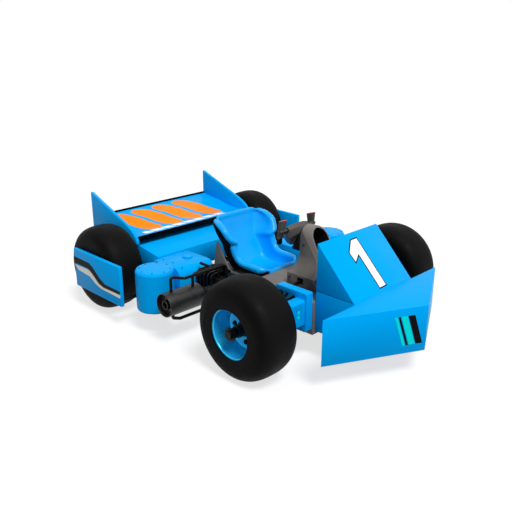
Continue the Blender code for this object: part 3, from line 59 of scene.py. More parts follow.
class Shader:
    """A material's node tree, with short calls for the nodes used here."""

    def __init__(self, name):
        self.material = bpy.data.materials.new(name)
        self.material.use_nodes = True
        self.tree = self.material.node_tree
        self.principled = self.tree.nodes["Principled BSDF"]
        self.output = self.tree.nodes["Material Output"]
        self.coordinates = self.tree.nodes.new("ShaderNodeTexCoord")

    def node(self, kind, **settings):
        made = self.tree.nodes.new(kind)
        for key, value in settings.items():
            setattr(made, key, value)
        return made

    def link(self, source, target):
        self.tree.links.new(source, target)

    def set(self, name, value):
        self.principled.inputs[name].default_value = value

    def noise(self, scale, detail=2.0):
        texture = self.node("ShaderNodeTexNoise")
        texture.inputs["Scale"].default_value = scale
        texture.inputs["Detail"].default_value = detail
        self.link(self.coordinates.outputs["Object"], texture.inputs["Vector"])
        return texture.outputs["Fac"]

    def ramp(self, value, low, high, low_at=0.3, high_at=0.7, smooth=False):
        """The value from low_at to high_at, mapped from low to high."""
        made = self.node("ShaderNodeMapRange")
        if smooth:
            made.interpolation_type = "SMOOTHSTEP"
        made.inputs["From Min"].default_value = low_at
        made.inputs["From Max"].default_value = high_at
        made.inputs["To Min"].default_value = low
        made.inputs["To Max"].default_value = high
        self.link(value, made.inputs["Value"])
        return made.outputs["Result"]

    def mix(self, share, first, second):
        """A colour between two; each is a colour or another node's output."""
        made = self.node("ShaderNodeMix", data_type="RGBA")
        self.link(share, made.inputs["Factor"])
        for source, socket in ((first, made.inputs["A"]), (second, made.inputs["B"])):
            if isinstance(source, tuple):
                socket.default_value = source
            else:
                self.link(source, socket)
        return made.outputs["Result"]

    def maths(self, operation, *values, clamp=False):
        made = self.node("ShaderNodeMath", operation=operation)
        made.use_clamp = clamp
        for index, value in enumerate(values):
            if isinstance(value, (int, float)):
                made.inputs[index].default_value = value
            else:
                self.link(value, made.inputs[index])
        return made.outputs[0]

    def plus(self, first, second):
        return self.maths("ADD", first, second)

    def less(self, first, second):
        return self.maths("SUBTRACT", first, second)

    def times(self, first, second):
        return self.maths("MULTIPLY", first, second)

    def most(self, first, second):
        return self.maths("MAXIMUM", first, second)

    def above(self, value, limit, edge=0.0006):
        """1 where the value is over a limit, with a fine soft edge."""
        return self.ramp(value, 0.0, 1.0, limit - edge, limit + edge)

    def between(self, value, low, high, edge=0.0006):
        """1 where the value lies between two limits."""
        over_low, over_high = self.above(value, low, edge), self.above(value, high, edge)
        return self.maths("SUBTRACT", over_low, over_high, clamp=True)

    def split(self, output):
        made = self.node("ShaderNodeSeparateXYZ")
        self.link(self.coordinates.outputs[output], made.inputs["Vector"])
        return made.outputs["X"], made.outputs["Y"], made.outputs["Z"]

    def axes(self):
        """The place on the object along X, Y and Z."""
        return self.split("Object")

    def facing(self):
        """The parts of the surface's direction along X, Y and Z."""
        return self.split("Normal")

    def bump(self, height, strength, distance):
        made = self.node("ShaderNodeBump")
        made.inputs["Strength"].default_value = strength
        made.inputs["Distance"].default_value = distance
        self.link(height, made.inputs["Height"])
        self.link(made.outputs["Normal"], self.principled.inputs["Normal"])


BLUE = (0, 173, 255)
BLUE_SHEEN = (0.0, 0.68, 1.0, 1.0)
PLAIN_SHEEN = (1.0, 1.0, 1.0, 1.0)


def tinted(shader, colour, change=0.05, scale=3.0):
    """A base colour that drifts a little over the surface."""
    darker = tuple(part * (1 - change) for part in colour[:3]) + (1.0,)
    return shader.mix(shader.ramp(shader.noise(scale), 0.0, 1.0), colour, darker)


def gloss_paint(name, colour, roughness=0.30, pattern=None, gloss=0.05, sheen=BLUE_SHEEN, metallic=0.0):
    """Sprayed paint: a soft gloss, faint orange peel and a slight drift in tone."""
    shader = Shader(name)
    base = tinted(shader, colour)
    if pattern:
        base = pattern(shader, base)
    shader.link(base, shader.principled.inputs["Base Color"])
    shader.link(shader.ramp(shader.noise(11.0, 4.0), roughness, roughness + 0.10),
                shader.principled.inputs["Roughness"])
    shader.set("Specular IOR Level", gloss)
    shader.set("Specular Tint", sheen)
    shader.set("Metallic", metallic)
    shader.bump(shader.noise(420.0, 1.0), 0.04, 0.0004)
    return shader.material


def moulded(name, colour, roughness, grain=700.0, depth=0.14, gloss=0.2, pattern=None):
    """Moulded plastic or composite with a fine grain."""
    shader = Shader(name)
    base = tinted(shader, colour, 0.08, 5.0)
    if pattern:
        base = pattern(shader, base)
    shader.link(base, shader.principled.inputs["Base Color"])
    shader.link(shader.ramp(shader.noise(16.0, 5.0), roughness - 0.06, roughness + 0.10),
                shader.principled.inputs["Roughness"])
    shader.set("Specular IOR Level", gloss)
    shader.bump(shader.noise(grain, 3.0), depth, 0.0005)
    return shader.material


def cast_metal(name, colour, roughness, metallic, grain=260.0, depth=0.2, gloss=0.3):
    """Coated or bare metal with a cast skin."""
    shader = Shader(name)
    shader.link(tinted(shader, colour, 0.18, 14.0), shader.principled.inputs["Base Color"])
    shader.link(shader.ramp(shader.noise(40.0, 5.0), roughness - 0.06, roughness + 0.12),
                shader.principled.inputs["Roughness"])
    shader.set("Metallic", metallic)
    shader.set("Specular IOR Level", gloss)
    shader.bump(shader.noise(grain, 3.0), depth, 0.0006)
    return shader.material


def slick_rubber(name):
    """Tyre rubber: scrubbed in rings round the crown, smoother on the sidewall."""
    shader = Shader(name)
    x, _, z = shader.axes()
    radius = shader.maths("SQRT", shader.plus(shader.times(x, x), shader.times(z, z)))
    tread = shader.ramp(radius, 0.0, 1.0, 0.205, 0.240, smooth=True)
    worn = shader.ramp(shader.noise(26.0, 5.0), 0.0, 1.0, 0.35, 0.7)
    base = shader.mix(tread, srgb(5, 5, 5), srgb(14, 14, 14))
    base = shader.mix(shader.times(worn, 0.3), base, srgb(10, 10, 10))
    shader.link(base, shader.principled.inputs["Base Color"])
    shader.link(shader.ramp(shader.noise(30.0, 5.0), 0.50, 0.62), shader.principled.inputs["Roughness"])
    shader.set("Specular IOR Level", 0.05)
    rings = shader.node("ShaderNodeTexWave", wave_type="BANDS", bands_direction="Y")
    rings.inputs["Scale"].default_value = 95.0
    rings.inputs["Distortion"].default_value = 3.0
    rings.inputs["Detail"].default_value = 3.0
    shader.link(shader.coordinates.outputs["Object"], rings.inputs["Vector"])
    scrubbed = shader.times(rings.outputs["Fac"], tread)
    shader.bump(shader.plus(scrubbed, shader.noise(500.0, 3.0)), 0.10, 0.0006)
    return shader.material


def wing_pattern(shader, base):
    """Slanted orange bars, a row of white dashes, a black nose band and tail strip."""
    nose_rear, under_rear, tail_front = -0.6225, -0.72, -1.0505
    x, y, _ = shader.axes()
    upward = shader.facing()[2]
    top = shader.above(upward, 0.4, 0.01)
    nose = shader.above(x, nose_rear)
    tail = shader.less(1.0, shader.above(x, tail_front))
    below = shader.less(1.0, shader.above(upward, -0.2, 0.01))
    under = shader.times(shader.above(x, under_rear), below)
    dark = shader.most(shader.most(nose, tail), under)
    base = shader.mix(dark, base, srgb(6, 6, 6))

    middle_x, half_length, half_width, spacing, slant = -0.8655, 0.165, 0.066, 0.166, 0.35
    first, last = -0.281, 0.217
    along = shader.less(x, middle_x)
    across = shader.less(y, shader.times(along, slant))
    near = shader.maths("WRAP", shader.less(across, first), spacing / 2, -spacing / 2)
    over = shader.most(shader.less(shader.maths("ABSOLUTE", along), half_length - half_width), 0.0)
    reach = shader.maths("SQRT", shader.plus(shader.times(near, near), shader.times(over, over)))
    bars = shader.less(1.0, shader.above(reach, half_width))
    bars = shader.times(bars, shader.between(across, first - spacing / 2, last + spacing / 2))
    base = shader.mix(shader.times(bars, top), base, srgb(255, 143, 0))

    dash_half, dash_step_half, dash_slant = 0.034, 0.042, 0.5
    dash = shader.less(y, shader.times(x, dash_slant))
    dash = shader.maths("WRAP", dash, dash_step_half, -dash_step_half)
    dashes = shader.times(shader.between(dash, -dash_half, dash_half), shader.between(x, -0.700, -0.650))
    dashes = shader.times(dashes, shader.between(y, -0.352, 0.300))
    return shader.mix(shader.times(dashes, top), base, srgb(255, 255, 255))


def tower_painted_light(shader, base):
    """Painted light and shade on the tower: a groove down each flank painted as a dark line of painted
    shade, a paler band before it as painted light on that facet, and a dark lining of painted shade on faces
    turned inward or down.
    """
    x, y, z = shader.axes()
    start_x, start_z = 0.3387, 0.558
    run_x, run_z = 0.6155, -0.7881
    length, half_width = 0.1771, 0.0013
    from_x = shader.less(x, start_x)
    from_z = shader.less(z, start_z)
    away = shader.less(shader.times(from_x, run_z), shader.times(from_z, run_x))
    along = shader.plus(shader.times(from_x, run_x), shader.times(from_z, run_z))
    # Painted light: the paler band on one side of the crease stands in for the light on that facet. The
    # other side keeps the darker base as painted shade.
    base = shader.mix(shader.above(away, 0.0), srgb(122, 116, 111), base)
    # Painted shade: a dark line along the crease in place of the shade in a groove.
    line = shader.times(shader.between(away, -half_width, half_width), shader.between(along, 0.0, length))
    base = shader.mix(line, base, srgb(48, 45, 43))
    # Painted shade: faces turned inward or facing down are painted near black.
    _, sideways, upward = shader.facing()
    outward = shader.above(shader.times(y, sideways), -0.004, 0.002)
    lit = shader.times(outward, shader.above(upward, -0.25, 0.05))
    return shader.mix(lit, srgb(24, 23, 22), base)


def grip_pattern(shader, base):
    """Grey hand pads over a black bar and black feet."""
    bar_half_length, pad_bottom = 0.092, 0.527
    _, y, z = shader.axes()
    outside = shader.above(shader.maths("ABSOLUTE", y), bar_half_length)
    pad = shader.times(outside, shader.above(z, pad_bottom))
    return shader.mix(pad, srgb(7, 7, 7), base)


# Materials

blue = gloss_paint("blue_gloss", srgb(*BLUE))
wing_blue = gloss_paint("wing_gloss", srgb(*BLUE), pattern=wing_pattern)
# Painted light: the rim's blue is paler than the body blue, standing in for light inside the shaded dish.
rim_blue = gloss_paint("rim_gloss", srgb(40, 200, 255), 0.26, gloss=0.5, sheen=PLAIN_SHEEN, metallic=0.4)
seat_blue = gloss_paint("seat_gloss", srgb(*BLUE), 0.17, gloss=0.2, sheen=PLAIN_SHEEN)
grey = moulded("grey_grain", srgb(112, 106, 101), 0.42, gloss=0.22)
# The tower's grey is darker than the hull's as painted shade for its flaring flank. Its pattern adds painted
# light and shade.
tower_grey = moulded("tower_grain", srgb(94, 90, 86), 0.34, gloss=0.35, pattern=tower_painted_light)
yoke_grey = moulded("yoke_grain", srgb(88, 85, 82), 0.36, gloss=0.3)
black = cast_metal("black_coat", srgb(9, 9, 9), 0.34, 0.0, gloss=0.16)
frame_black = cast_metal("black_tube", srgb(7, 6, 6), 0.32, 0.0, 420.0, 0.1, 0.14)
steel = cast_metal("dark_steel_skin", srgb(29, 29, 29), 0.34, 0.0, gloss=0.45)
bolt_dark = cast_metal("bolt_dark", srgb(28, 42, 54), 0.40, 0.3)
rubber = moulded("grip_rubber", srgb(74, 74, 70), 0.60, 900.0, 0.3, gloss=0.12, pattern=grip_pattern)
red = moulded("red_cap", srgb(225, 15, 12), 0.40, gloss=0.1)
white = gloss_paint("white_paint", srgb(255, 255, 255), 0.30, sheen=PLAIN_SHEEN)
cream = gloss_paint("cream_paint", srgb(255, 250, 240), 0.35, sheen=PLAIN_SHEEN)
aqua = gloss_paint("aqua_paint", srgb(0, 240, 235), 0.30, sheen=PLAIN_SHEEN)
seam_blue = gloss_paint("seam_shade", srgb(0, 62, 96), 0.36)
line_black = gloss_paint("black_paint", srgb(5, 5, 5), 0.36, sheen=PLAIN_SHEEN)
tyre_rubber = slick_rubber("slick_rubber")
backing = moulded("backing_skin", srgb(5, 5, 5), 0.7, gloss=0.05)
lamp = gloss_paint("lamp_lens", srgb(0, 250, 250), 0.10, gloss=0.5, sheen=PLAIN_SHEEN)

PAINTS = {
    "hull": grey, "steering_tower": tower_grey, "column_housing": black, "nose_fairing": blue,
    "nose_box": blue, "front_wing": blue, "seat": seat_blue, "seat_backing": backing, "engine": black,
    "silencer": steel,
    "silencer_guard_upper": frame_black, "silencer_guard_lower": frame_black, "gear_lever": frame_black,
    "side_tank_right": blue, "side_tank_left": blue, "filler_cap": blue, "pod_right": blue, "pod_left": blue,
    "rear_frame": frame_black, "engine_cover": blue, "rear_wing": wing_blue, "end_plate_right": blue,
    "end_plate_left": blue, "side_guard_right": blue, "side_guard_left": blue, "front_plate_right": blue,
    "front_plate_left": blue, "lamps_right": lamp, "lamps_left": lamp, "front_arms_right": frame_black,
    "front_arms_left": frame_black, "pedals": steel, "steering_column": frame_black,
    "steering_yoke": rubber, "yoke_hub": yoke_grey, "knuckle_right": frame_black,
    "knuckle_left": frame_black, "tie_rod_right": frame_black, "tie_rod_left": frame_black,
    "front_hub_right": frame_black, "front_hub_left": frame_black, "front_rim_right": rim_blue,
    "front_rim_left": rim_blue, "front_tyre_right": tyre_rubber, "front_tyre_left": tyre_rubber,
    "rear_axle": steel, "rear_rim_right": rim_blue, "rear_tyre_right": tyre_rubber,
    "rear_rim_left": rim_blue, "rear_tyre_left": tyre_rubber,
}
for name, obj in nodes.items():
    for slot in obj.material_slots:
        slot.material = PAINTS[name]


# Softened edges on the solids that stay

FLAT_LIMIT = math.radians(0.6)
SHARP_LIMIT = math.radians(28)
SMOOTH_LIMIT = math.radians(34)
WELD_DISTANCE = 0.00002


def geometry_group(name):
    """An empty group of geometry nodes with its input and its output."""
    group = bpy.data.node_groups.new(name, "GeometryNodeTree")
    for end in ("INPUT", "OUTPUT"):
        group.interface.new_socket("Geometry", in_out=end, socket_type="NodeSocketGeometry")
    return group, group.nodes.new("NodeGroupInput"), group.nodes.new("NodeGroupOutput")


def weld_group():
    """Joins the split corners of an imported mesh, so that its edges can be rounded."""
    group, start, end = geometry_group("weld_corners")
    merge = group.nodes.new("GeometryNodeMergeByDistance")
    merge.inputs["Distance"].default_value = WELD_DISTANCE
    forget = group.nodes.new("GeometryNodeRemoveAttribute")
    forget.inputs["Name"].default_value = "custom_normal"
    group.links.new(start.outputs[0], merge.inputs["Geometry"])
    group.links.new(merge.outputs["Geometry"], forget.inputs["Geometry"])
    group.links.new(forget.outputs["Geometry"], end.inputs[0])
    return group


def smooth_group():
    """Shades smooth across every edge that is flatter than a limit."""
    group, start, end = geometry_group("smooth_by_angle")
    faces = group.nodes.new("GeometryNodeSetShadeSmooth")
    faces.domain = "FACE"
    faces.inputs["Shade Smooth"].default_value = True
    edges = group.nodes.new("GeometryNodeSetShadeSmooth")
    edges.domain = "EDGE"
    angle = group.nodes.new("GeometryNodeInputMeshEdgeAngle")
    flat = group.nodes.new("FunctionNodeCompare")
    flat.operation = "LESS_THAN"
    flat.inputs["B"].default_value = SMOOTH_LIMIT
    group.links.new(angle.outputs["Unsigned Angle"], flat.inputs["A"])
    group.links.new(flat.outputs["Result"], edges.inputs["Shade Smooth"])
    group.links.new(start.outputs[0], faces.inputs["Geometry"])
    group.links.new(faces.outputs["Geometry"], edges.inputs["Geometry"])
    group.links.new(edges.outputs["Geometry"], end.inputs[0])
    return group


WELD = weld_group()
SMOOTH = smooth_group()


def soften(node, width):
    """Rounds a solid's sharp edges a little, as real mouldings and castings are."""
    obj = nodes[node]
    weld = obj.modifiers.new("weld", "NODES")
    weld.node_group = WELD
    flatten = obj.modifiers.new("flatten", "DECIMATE")
    flatten.decimate_type = "DISSOLVE"
    flatten.angle_limit = FLAT_LIMIT
    bevel = obj.modifiers.new("round", "BEVEL")
    bevel.width = width
    bevel.segments = 2
    bevel.limit_method = "ANGLE"
    bevel.angle_limit = SHARP_LIMIT
    smooth = obj.modifiers.new("smooth", "NODES")
    smooth.node_group = SMOOTH


for name, width in (
        ("hull", 0.003), ("steering_tower", 0.003), ("column_housing", 0.002), ("nose_fairing", 0.0015),
        ("nose_box", 0.002), ("front_wing", 0.0015), ("engine", 0.0012), ("side_tank_right", 0.004),
        ("side_tank_left", 0.004), ("filler_cap", 0.001), ("engine_cover", 0.0015), ("rear_wing", 0.0012),
        ("end_plate_right", 0.003), ("end_plate_left", 0.003), ("side_guard_right", 0.001),
        ("side_guard_left", 0.001), ("front_plate_right", 0.003), ("front_plate_left", 0.003),
        ("pedals", 0.001), ("steering_yoke", 0.002),
        ("rear_frame", 0.001), ("front_arms_right", 0.001), ("front_arms_left", 0.001),
        ("knuckle_right", 0.001), ("knuckle_left", 0.001), ("front_hub_right", 0.001),
        ("front_hub_left", 0.001), ("rear_axle", 0.001), ("steering_column", 0.001)):
    soften(name, width)


# Mesh helpers

def piece(name, bm, finish, body, angle=35, location=(0.0, 0.0, 0.0)):
    """A new piece of the scene that rides on a body. Its mesh is about the location."""
    bmesh.ops.recalc_face_normals(bm, faces=bm.faces)
    mesh = bpy.data.meshes.new(name)
    bm.to_mesh(mesh)
    bm.free()
    mesh.shade_smooth()
    mesh.set_sharp_from_angle(angle=math.radians(angle))
    mesh.materials.append(finish)
    obj = bpy.data.objects.new(name, mesh)
    obj.location = location
    bpy.context.scene.collection.objects.link(obj)
    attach(obj, body)
    return obj


def turned(profile, segments=96, axis="Y", closed=True):
    """(radius, along) points turned about the Y or the Z axis."""
    bm = bmesh.new()
    rings = []
    for radius, along in profile:
        ring = []
        for k in range(segments if radius > 1e-9 else 1):
            u = radius * math.cos(2 * math.pi * k / segments)
            v = radius * math.sin(2 * math.pi * k / segments)
            ring.append(bm.verts.new((u, along, v) if axis == "Y" else (u, v, along)))
        rings.append(ring)
    pairs = list(zip(rings, rings[1:] + rings[:1])) if closed else list(zip(rings, rings[1:]))
    for first, second in pairs:
        if len(first) == 1 and len(second) == 1:
            continue
        for k in range(segments):
            after = (k + 1) % segments
            if len(first) == 1:
                bm.faces.new((first[0], second[k], second[after]))
            elif len(second) == 1:
                bm.faces.new((first[k], first[after], second[0]))
            else:
                bm.faces.new((first[k], first[after], second[after], second[k]))
    return bm


def tube(bm, path, radius, segments=20):
    """A round tube through points, added to a bmesh."""
    rings = []
    side = None
    for index, here in enumerate(path):
        before = path[max(index - 1, 0)]
        after = path[min(index + 1, len(path) - 1)]
        tangent = (after - before).normalized()
        side = tangent.orthogonal() if side is None else side - side.dot(tangent) * tangent
        side.normalize()
        up = tangent.cross(side)
        rings.append([bm.verts.new(here + radius * (math.cos(a) * side + math.sin(a) * up))
                      for a in (2 * math.pi * k / segments for k in range(segments))])
    for first, second in zip(rings, rings[1:]):
        for k in range(segments):
            after = (k + 1) % segments
            bm.faces.new((first[k], first[after], second[after], second[k]))
    bm.faces.new(list(reversed(rings[0])))
    bm.faces.new(rings[-1])
    return bm


def rounded(corners, radius, steps=9):
    """A path whose inner corners are rounded."""
    corners = [Vector(corner) for corner in corners]
    path = [corners[0]]
    for before, here, after in zip(corners, corners[1:], corners[2:]):
        into = (here - before).normalized()
        out = (after - here).normalized()
        room = min((here - before).length, (after - here).length) / 2
        cut = min(radius * math.tan(into.angle(out) / 2), room)
        start, end = here - into * cut, here + out * cut
        for step in range(steps + 1):
            share = step / steps
            path.append((1 - share) ** 2 * start + 2 * share * (1 - share) * here + share ** 2 * end)
    path.append(corners[-1])
    return path


def bolt(bm, centre, direction, radius, height, turn=0.0):
    """A bolt head with a washer under it, standing along a direction."""
    matrix = Matrix.Translation(centre) @ Vector(direction).to_track_quat("Z", "Y").to_matrix().to_4x4()
    bmesh.ops.create_cone(bm, cap_ends=True, segments=20, radius1=radius * 1.35, radius2=radius * 1.30,
                          depth=height * 0.35, matrix=matrix @ Matrix.Translation((0, 0, height * 0.175)))
    head = matrix @ Matrix.Translation((0, 0, height * 0.65)) @ Matrix.Rotation(turn, 4, "Z")
    bmesh.ops.create_cone(bm, cap_ends=True, segments=6, radius1=radius, radius2=radius * 0.92,
                          depth=height * 0.75, matrix=head)


PAINT_DEPTH = 0.0003


def decal(name, loops, direction, lift, finish):
    """Flat painted shapes, each a loop of points, laid on a face that looks along a direction."""
    bm = bmesh.new()
    out = Vector(direction).normalized()
    for loop in loops:
        low = [bm.verts.new(Vector(point) + out * (lift - PAINT_DEPTH)) for point in loop]
        high = [bm.verts.new(Vector(point) + out * lift) for point in loop]
        bm.faces.new(low)
        bm.faces.new(list(reversed(high)))
        for k in range(len(loop)):
            after = (k + 1) % len(loop)
            bm.faces.new((low[k], high[k], high[after], low[after]))
    return piece(name, bm, finish, "root", 20)


# Wheels: round tyres and deep rims in place of the faceted solids

TYRE_MIDDLE, TYRE_SQUARENESS = 0.60, 2.9
TYRE_SWING, TYRE_STEPS = math.radians(99), 44
RIDGES, RIDGE_HEIGHT, RIDGE_WIDTH = (0.30, 0.52), 0.0012, 0.035
BEAD_RADIUS, BEAD_HALF_WIDTH, TREAD_INSET = 0.1325, 0.1085, 0.0008


def tyre_section(radius, half_width, bead_radius, bead_half):
    """The slick's section: full crown, rounded shoulder, ridged sidewall, tucked bead."""
    mid = TYRE_MIDDLE * radius
    rise = radius - mid
    power = 2 / TYRE_SQUARENESS
    points = []
    for step in range(TYRE_STEPS + 1):
        angle = -TYRE_SWING + 2 * TYRE_SWING * step / TYRE_STEPS
        sine, cosine = math.sin(angle), math.cos(angle)
        across = half_width * math.copysign(abs(sine) ** power, sine)
        out = mid + rise * math.copysign(abs(cosine) ** power, cosine)
        points.append((out, across))
    ridged = []
    for out, across in points:
        share = (out - mid) / rise
        swell = sum(RIDGE_HEIGHT * math.exp(-((share - centre) / RIDGE_WIDTH) ** 2) for centre in RIDGES)
        wall = abs(across) > half_width * 0.7
        ridged.append((out, across + math.copysign(swell, across) if wall else across))
    bead = [(bead_radius + 0.004, bead_half + 0.004), (bead_radius, bead_half),
            (bead_radius - 0.006, bead_half - 0.008), (bead_radius - 0.007, bead_half - 0.014)]
    left = [(out, -across) for out, across in reversed(bead)]
    return ridged + bead + left


# A rim's section, (radius, outward) points: bore and hat, back of the disc, inner lip, outer lip,
# the barrel that narrows inward, and the disc's face
RIM_SECTION = [
    (0.0275, -0.0295), (0.0340, -0.0295), (0.0350, -0.0285), (0.0360, -0.0060), (0.0400, -0.0005),
    (0.0980, -0.0005), (0.1060, -0.0040), (0.1110, -0.0120), (0.1150, -0.0260), (0.1175, -0.0550),
    (0.1185, -0.1000), (0.1195, -0.1055), (0.1225, -0.1078), (0.1290, -0.1078), (0.1315, -0.1062),
    (0.1320, -0.1035), (0.1300, -0.1020), (0.1255, -0.1005), (0.1240, -0.0970),
    (0.1240, 0.0970), (0.1255, 0.1005), (0.1300, 0.1020), (0.1320, 0.1035), (0.1315, 0.1062),
    (0.1290, 0.1078), (0.1225, 0.1078), (0.1195, 0.1055), (0.1180, 0.1000), (0.1120, 0.0400),
    (0.1085, 0.0140), (0.1060, 0.0085), (0.1030, 0.0060), (0.0275, 0.0060)]

# The front hub's cap over the axle nut: flange, two steps with a groove, and a hollow inside
CAP_SECTION = [
    (0.0262, 0.0062), (0.0360, 0.0062), (0.0370, 0.0072), (0.0370, 0.0270), (0.0350, 0.0300),
    (0.0310, 0.0310), (0.0310, 0.0600), (0.0300, 0.0612), (0.0262, 0.0618), (0.0262, 0.0650),
    (0.0285, 0.0656), (0.0290, 0.0664), (0.0290, 0.0700), (0.0250, 0.0720), (0.0245, 0.1030),
    (0.0235, 0.1040), (0.0, 0.1040), (0.0, 0.0980), (0.0215, 0.0970), (0.0215, 0.0235), (0.0262, 0.0230)]

DISC_FACE, WHEEL_BOLT_RING, WHEEL_BOLT = 0.0058, 0.074, (0.0098, 0.010)
CAP_FACE, CAP_NUT = 0.1036, (0.0245, 0.0190)


def dress_wheel(prefix, name, side, body):
    """A round tyre, a deep rim and its bolts, and on the front wheels the hub's cap."""
    tyre_node, rim_node = f"{prefix}_tyre_{name}", f"{prefix}_rim_{name}"
    low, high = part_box(tyre_node)
    centre = (low + high) / 2
    radius, half_width = (high.z - low.z) / 2, (high.y - low.y) / 2
    section = tyre_section(radius, half_width - TREAD_INSET, BEAD_RADIUS, BEAD_HALF_WIDTH)
    tyre = piece(f"{prefix}_slick_{name}", turned(section, 128), tyre_rubber, body, 50, centre)
    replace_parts(tyre, tyre_node)
    rim_bm = turned([(out, along * side) for out, along in RIM_SECTION], 96)
    rim = piece(f"{prefix}_dish_{name}", rim_bm, rim_blue, body, 40, centre)
    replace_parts(rim, rim_node)
    bolts = bmesh.new()
    for k in range(4):
        angle = math.radians(90 * k)
        place = (WHEEL_BOLT_RING * math.cos(angle), side * DISC_FACE, WHEEL_BOLT_RING * math.sin(angle))
        bolt(bolts, Vector(place), (0, side, 0), *WHEEL_BOLT, angle)
    piece(f"{prefix}_wheel_bolts_{name}", bolts, frame_black, body, 30, centre)
    if prefix == "front":
        cap_bm = turned([(out, along * side) for out, along in CAP_SECTION], 48)
        piece(f"hub_cap_{name}", cap_bm, frame_black, body, 30, centre)
        bm = bmesh.new()
        bolt(bm, Vector((0.0, side * CAP_FACE, 0.0)), (0, side, 0), *CAP_NUT)
        piece(f"hub_cap_nut_{name}", bm, frame_black, body, 30, centre)


for name, side in SIDES:
    dress_wheel("front", name, side, f"front_wheel_{name}")
    dress_wheel("rear", name, side, "rear_wheels")


# Seat: the same shell with finer sections

SEAT_LIP_X = 0.1255
SEAT_LENGTH = 0.370
SEAT_PAN_Z = 0.262
SEAT_HEIGHT = 0.290
SEAT_HALF_WIDTH = 0.186
SEAT_ROLL = 0.015
SEAT_FULL_ROLL_RISE = 0.032
SEAT_ROLL_TURN = 1.3 * math.pi
SEAT_RIM_INSET = 0.012
SEAT_WALL = 0.006
BACKING_DEPTH, BACKING_GAP = 0.030, 0.0006
FLANK_STEPS, ROLL_STEPS, RIM_COLUMNS = 9, 8, 9
# Rows from the top of the back to the front lip: centre length, centre height,
# rim length, rim height, rim half width, floor half width.
SEAT_ROWS = [
    (1.04, 0.94, 1.0, 0.925, 0.80, 0.62),
    (1.03, 0.99, 0.975, 0.965, 0.84, 0.63),
    (1.0, 1.0, 0.93, 0.965, 0.89, 0.65),
    (0.99, 0.92, 0.84, 0.93, 0.97, 0.71),
    (0.97, 0.82, 0.71, 0.84, 1.0, 0.67),
    (0.94, 0.68, 0.64, 0.72, 0.96, 0.60),
    (0.90, 0.56, 0.59, 0.62, 0.87, 0.565),
    (0.875, 0.49, 0.60, 0.56, 0.785, 0.56),
    (0.835, 0.39, 0.595, 0.48, 0.81, 0.555),
    (0.76, 0.22, 0.555, 0.355, 0.805, 0.55),
    (0.66, 0.06, 0.49, 0.25, 0.79, 0.55),
    (0.525, 0.0, 0.39, 0.205, 0.78, 0.55),
    (0.28, 0.01, 0.24, 0.195, 0.765, 0.54),
    (0.105, 0.05, 0.10, 0.185, 0.735, 0.525),
    (0.015, 0.13, 0.02, 0.185, 0.70, 0.51),
    (-0.01, 0.17, -0.005, 0.19, 0.655, 0.485),
    (-0.04, 0.165, -0.03, 0.18, 0.63, 0.47),
    (-0.05, 0.125, -0.045, 0.14, 0.61, 0.46),
]


def between_rows(rows, steps=4):
    """Rows on a smooth curve through the given ones."""
    finer = []
    padded = [rows[0]] + rows + [rows[-1]]
    for before, here, after, beyond in zip(padded, rows, rows[1:], padded[3:]):
        for step in range(steps):
            t = step / steps
            finer.append(tuple(
                0.5 * (2 * b + (c - a) * t + (2 * a - 5 * b + 4 * c - d) * t ** 2
                       + (3 * b - a - 3 * c + d) * t ** 3)
                for a, b, c, d in zip(before, here, after, beyond)))
    return finer + [rows[-1]]


def seat_half(row):
    """One half of a section: the flank's curve from the floor to the crest, and the rolled rim."""
    centre_length, centre_height, rim_length, rim_height, rim_width, floor_width = row
    centre = Vector((SEAT_LIP_X - SEAT_LENGTH * centre_length, 0.0,
                     SEAT_PAN_Z + SEAT_HEIGHT * centre_height))
    crest = Vector((SEAT_LIP_X - SEAT_LENGTH * rim_length, 0.0, SEAT_PAN_Z + SEAT_HEIGHT * rim_height))
    rise = crest - centre
    floor_half = SEAT_HALF_WIDTH * floor_width
    roll = SEAT_ROLL * min(1.0, rise.length / SEAT_FULL_ROLL_RISE)
    rim_half = SEAT_HALF_WIDTH * rim_width - SEAT_RIM_INSET
    half = [(centre, floor_half / 2)]
    for step in range(FLANK_STEPS + 1):
        swing = math.pi / 2 * step / FLANK_STEPS
        point = centre + rise * (1 - math.cos(swing))
        half.append((point, floor_half + (rim_half - floor_half) * math.sin(swing)))
    for step in range(1, ROLL_STEPS + 1):
        swing = SEAT_ROLL_TURN * step / ROLL_STEPS
        point = crest + rise.normalized() * roll * math.sin(swing)
        half.append((point, rim_half + roll * (1 - math.cos(swing))))
    return centre, half


def seat_grid(rows):
    grid = []
    for row in between_rows(rows):
        centre, half = seat_half(row)
        grid.append([Vector((point.x, -y, point.z)) for point, y in reversed(half)] + [centre]
                    + [Vector((point.x, y, point.z)) for point, y in half])
    return grid


def shell(grid, rear, front, dark_skip=None):
    """A closed shell between two offsets. Its back is dark between the rims where a skip is given."""
    rows, columns = len(grid), len(grid[0])
    bm = bmesh.new()
    layers = [[], []]
    for i in range(rows):
        for layer, offset in zip(layers, (rear, front)):
            line = []
            for j in range(columns):
                along = grid[min(i + 1, rows - 1)][j] - grid[max(i - 1, 0)][j]
                across = grid[i][min(j + 1, columns - 1)] - grid[i][max(j - 1, 0)]
                line.append(bm.verts.new(grid[i][j] + along.cross(across).normalized() * offset))
            layer.append(line)
    for index, layer in enumerate(layers):
        for i in range(rows - 1):
            for j in range(columns - 1):
                face = bm.faces.new((layer[i][j], layer[i][j + 1], layer[i + 1][j + 1], layer[i + 1][j]))
                if dark_skip is not None and index == 0 and dark_skip <= j < columns - 1 - dark_skip:
                    face.material_index = 1
    border = [(0, j) for j in range(columns)]
    border += [(i, columns - 1) for i in range(1, rows)]
    border += [(rows - 1, j) for j in range(columns - 2, -1, -1)]
    border += [(i, 0) for i in range(rows - 2, 0, -1)]
    for here, after in zip(border, border[1:] + border[:1]):
        bm.faces.new((layers[0][here[0]][here[1]], layers[0][after[0]][after[1]],
                      layers[1][after[0]][after[1]], layers[1][here[0]][here[1]]))
    return bm


